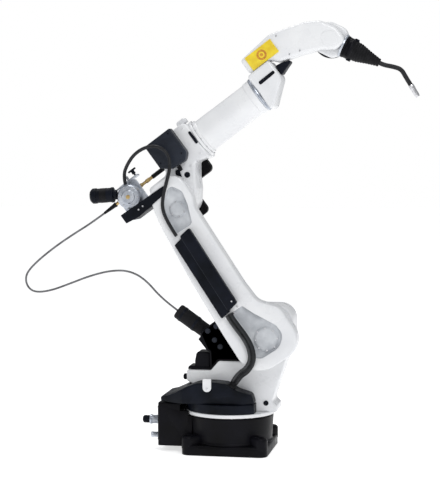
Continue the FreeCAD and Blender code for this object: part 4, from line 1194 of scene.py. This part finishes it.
# %% Wire fittings
inlet = rounded([(-285, 0), (-285, 8, 1), (-270, 8, 1), (-269, 11, 1), (-256, 11, 1), (-255, 8.5),
                 (-250, 8.5), (-249, 11, 1), (-238, 11, 1), (-238, 0)], closed=False)
keep("wire_inlet", FOREARM, moved(turned(inlet, 36), "x", (0, 0, WIRE)), BRASS, "forearm", "inlet_fitting")
RELIEF_RIBS = 9
along = np.linspace(-358, -296, 55)
share = (along + 358) / 62
relief_radius = 7 + 4 * share - 0.7 * (0.5 - 0.5 * np.cos(share * 2 * math.pi * RELIEF_RIBS))
relief = np.concatenate([[(-360.2, 0), (-360.2, 6.6)], np.stack([along, relief_radius], axis=1),
                         [(-292, 12), (-285.3, 12), (-285.3, 0)]])
keep("conduit_boot", FOREARM, moved(turned(relief, 32), "x", (0, 0, WIRE)), RUBBER, "forearm",
     "conduit_relief")
outlet = rounded([(-138, 0), (-138, 10, 1), (-120, 10, 1), (-118, 7.5), (-96, 7.5), (-95, 10, 1),
                  (-74, 10, 1), (-73, 8), (-56, 8), (-56, 0)], closed=False)
keep("wire_outlet", FOREARM, moved(turned(outlet, 36), "x", (0, 0, WIRE)), BRASS, "forearm",
     "outlet_fitting")
boot = np.concatenate([[(-56, 0), (-56, 11)], ribbed(-54, 22, 11.4, 10, 1.0), [(27.9, 9), (27.9, 0)]])
keep("wire_outlet_boot", FOREARM, moved(turned(boot, 32), "x", (0, 0, WIRE)), RUBBER, "forearm",
     "outlet_boot")
print("inlet and outlet fittings with their boots")

# %% [markdown]
# The wrist is the arm's most shaped part. The roll housing is a barrel that narrows to a lobe under the
# tube, and above it the wrist arm curves forward and down to the bend axis, where its near cheek holds the
# turning head. The yellow plate sits on its flank.

# %% Wrist
housing = rounded([
    (623, OFFSET - 95, 17), (643, OFFSET - 99, 18), (757, OFFSET - 6, 40), (757, OFFSET + 97, 18),
    (623, OFFSET + 97, 18)], steps=9)
keep("roll_barrel", FOREARM, plate(housing, -88, 88, 30), WHITE, "wrist_roll", "roll_housing")
slot_plate = rounded([(652, OFFSET + 23, 8), (745, OFFSET + 27, 8), (745, OFFSET + 43, 8),
                      (652, OFFSET + 41, 8)])
keep("barrel_slot", FOREARM, plate(slot_plate, -92, -82, 2.5), PLASTIC, "wrist_roll", "housing_slot")
wrist_outline = rounded([
    (639, OFFSET + 97.3, 18), (757, OFFSET + 97.3, 20), (786, OFFSET + 62, 60), (905, OFFSET + 24, 120),
    (985, OFFSET - 12, 70), (1045, OFFSET - 58, 56), (1107, OFFSET - 50, 56), (1106, OFFSET + 30, 60),
    (1066, OFFSET + 99.6, 70), (992, OFFSET + 146.6, 120), (869, OFFSET + 186, 200),
    (824, OFFSET + 199, 30),
    (639, OFFSET + 181, 18)], steps=12)
sweep_cut = (plate(round_outline(BEND_ALONG, OFFSET, 95, 72), -17, 90, 0.01), WHITE)
beyond_cut = (plate(square(BEND_ALONG, BEND_ALONG + 200, OFFSET - 200, OFFSET + 220, 1), -17, 90, 0.01),
              WHITE)
carved("wrist_shell", FOREARM, plate(wrist_outline, -62, 62, 16), [sweep_cut, beyond_cut], WHITE,
       "wrist_roll", "wrist_arm", soft=3)
print("roll housing and wrist arm")

# %% Yellow plate and its mark
LABEL = square(664, 818, OFFSET + 101, OFFSET + 176, 3)
keep("label_foil", FOREARM, plate(LABEL, -68, -62.3, 1), YELLOW, "wrist_roll", "label_plate")


def flat_ring(x, z, y, inner, outer, thick=0.6, count=64):
    """A thin flat ring facing the viewer: inner and outer circles at two depths."""
    angle = np.linspace(0, 2 * math.pi, count, endpoint=False)
    loops = [(inner, 0), (outer, 0), (outer, -thick), (inner, -thick)]
    rings = np.array([np.stack([x + radius * np.cos(angle), np.full(count, y + deep),
                                z + radius * np.sin(angle)], axis=1) for radius, deep in loops])
    faces = strip_faces(4, count).tolist()
    column = np.arange(count)
    after = (column + 1) % count
    faces += np.stack([3 * count + column, 3 * count + after, after, column], axis=1).tolist()
    return rings.reshape(-1, 3), faces


keep("label_mark", FOREARM, joined(flat_ring(741, OFFSET + 139, -67.8, 15, 25),
                                   plate(round_outline(741, OFFSET + 139, 8), -68.4, -67.8, 0.2)),
     AMBER, "wrist_roll")
print("yellow plate with a round mark")

# %% Wrist cover and cable wedge
keep("wrist_cover", FOREARM, plate(rounded([(1004, OFFSET - 20, 24), (1070, OFFSET - 36, 34),
                                            (1092, OFFSET + 26, 36), (1020, OFFSET + 60, 30)]),
                                   -64, -60, 1.5), WHITE, "wrist_roll")
screws("wrist_screws", FOREARM, "-y", [(850, -62, OFFSET + 60), (850, -62, OFFSET + 170),
                                       (900, -62, OFFSET + 44)], 4, STEEL, "wrist_roll")
wedge = rounded([(757, OFFSET + 4, 8), (800, OFFSET + 20, 20), (850, OFFSET + 36, 12),
                 (790, OFFSET + 56, 10), (760, OFFSET + 60, 6)])
keep("wrist_cable_wedge", FOREARM, plate(wedge, -40, 40, 6), PLASTIC, "wrist_roll")
print("wrist cover, screws and wedge")

# %% Wrist head
head = rounded([
    (-79, -79, 78), (40, -79, 60), (64, -58, 10), (64, 54, 10), (40, 79, 50), (-79, 79, 78)], steps=14)
keep("bend_head", TORCH, plate(head, -12, 56, 9), WHITE, "wrist_bend", "wrist_head")
flange = rounded([(60, 0), (60, 57, 2), (70, 57, 2), (70, 0)], closed=False)
keep("tool_flange", TORCH, turned(flange, 72), METAL, "wrist_bend")
# A black crescent under the head where the wrist's fork lies in shade: a dark piece put in as painted shadow.
shadow_band_angle = np.linspace(math.radians(200), math.radians(318), 24)
shadow_band_line = np.stack([79 * np.cos(shadow_band_angle), np.full(24, 8.0), 79 * np.sin(shadow_band_angle)], axis=1)
keep("bend_guard", TORCH, carried(shadow_band_line, 9, 12), PLASTIC, "wrist_bend")
print("wrist head, flange and guard")

# %% [markdown]
# The torch hangs on a collision sensor, a black drum that gives way when the torch hits something. A
# ribbed rubber boot tapers from it to the bent grey neck, which ends in the gas nozzle.

# %% Torch
sensor = np.concatenate([[(70.3, 0), (70.3, 52), (72, 54), (80, 54), (81, 51)],
                         ribbed(82, 100, 52.5, 4, 1.4), [(101, 54), (110, 54), (112, 52), (112, 0)]])
keep("breakaway_drum", TORCH, turned(sensor, 72), BLACK, "torch", "collision_sensor")
along = np.linspace(112, 250, 121)
taper = np.interp(along, (112, 150, 200, 250), (50, 46, 32, 20.5))
folds = 1.9 * (0.5 - 0.5 * np.cos((along - 112) / 138 * 2 * math.pi * 11))
boot = np.concatenate([[(112.1, 0)], np.stack([along, taper - folds], axis=1), [(256, 19), (256, 0)]])
keep("torch_sleeve", TORCH, turned(boot, 64), RUBBER, "torch", "torch_boot")
for side in (-1, 1):
    keep(f"sensor_clamp_{'low' if side < 0 else 'high'}", TORCH,
         plate(square(104, 124, side * 50 - 7, side * 50 + 7, 3), -12, 12, 2), PLASTIC, "torch")
neck_route = [TORCH.place((x, 0, z)) for x, z in ((256.3, 0), (280, 0), (322, 12), (364, 18), (400, -7),
                                                  (437, -30))]
neck_line = smooth_line(neck_route)
keep("torch_pipe", METRES, carried(neck_line, 0.011, 24), CORD, "torch", "torch_neck", edge=60)
NOZZLE_TILT = math.atan2(-23, 37)
nozzle = rounded([(0, 0), (0, 12.5, 1), (8, 13.6, 2), (20, 13.6, 2), (24, 12.4, 2), (56, 12, 2),
                  (66, 9.8, 2), (66, 7.5, 1), (58, 7, 1), (58, 0)], closed=False)
keep("torch_gas_nozzle", TORCH, risen(turned(nozzle, 40), 437, -30, NOZZLE_TILT), STEEL, "torch",
     "torch_nozzle")
print("sensor, boot, neck and nozzle")
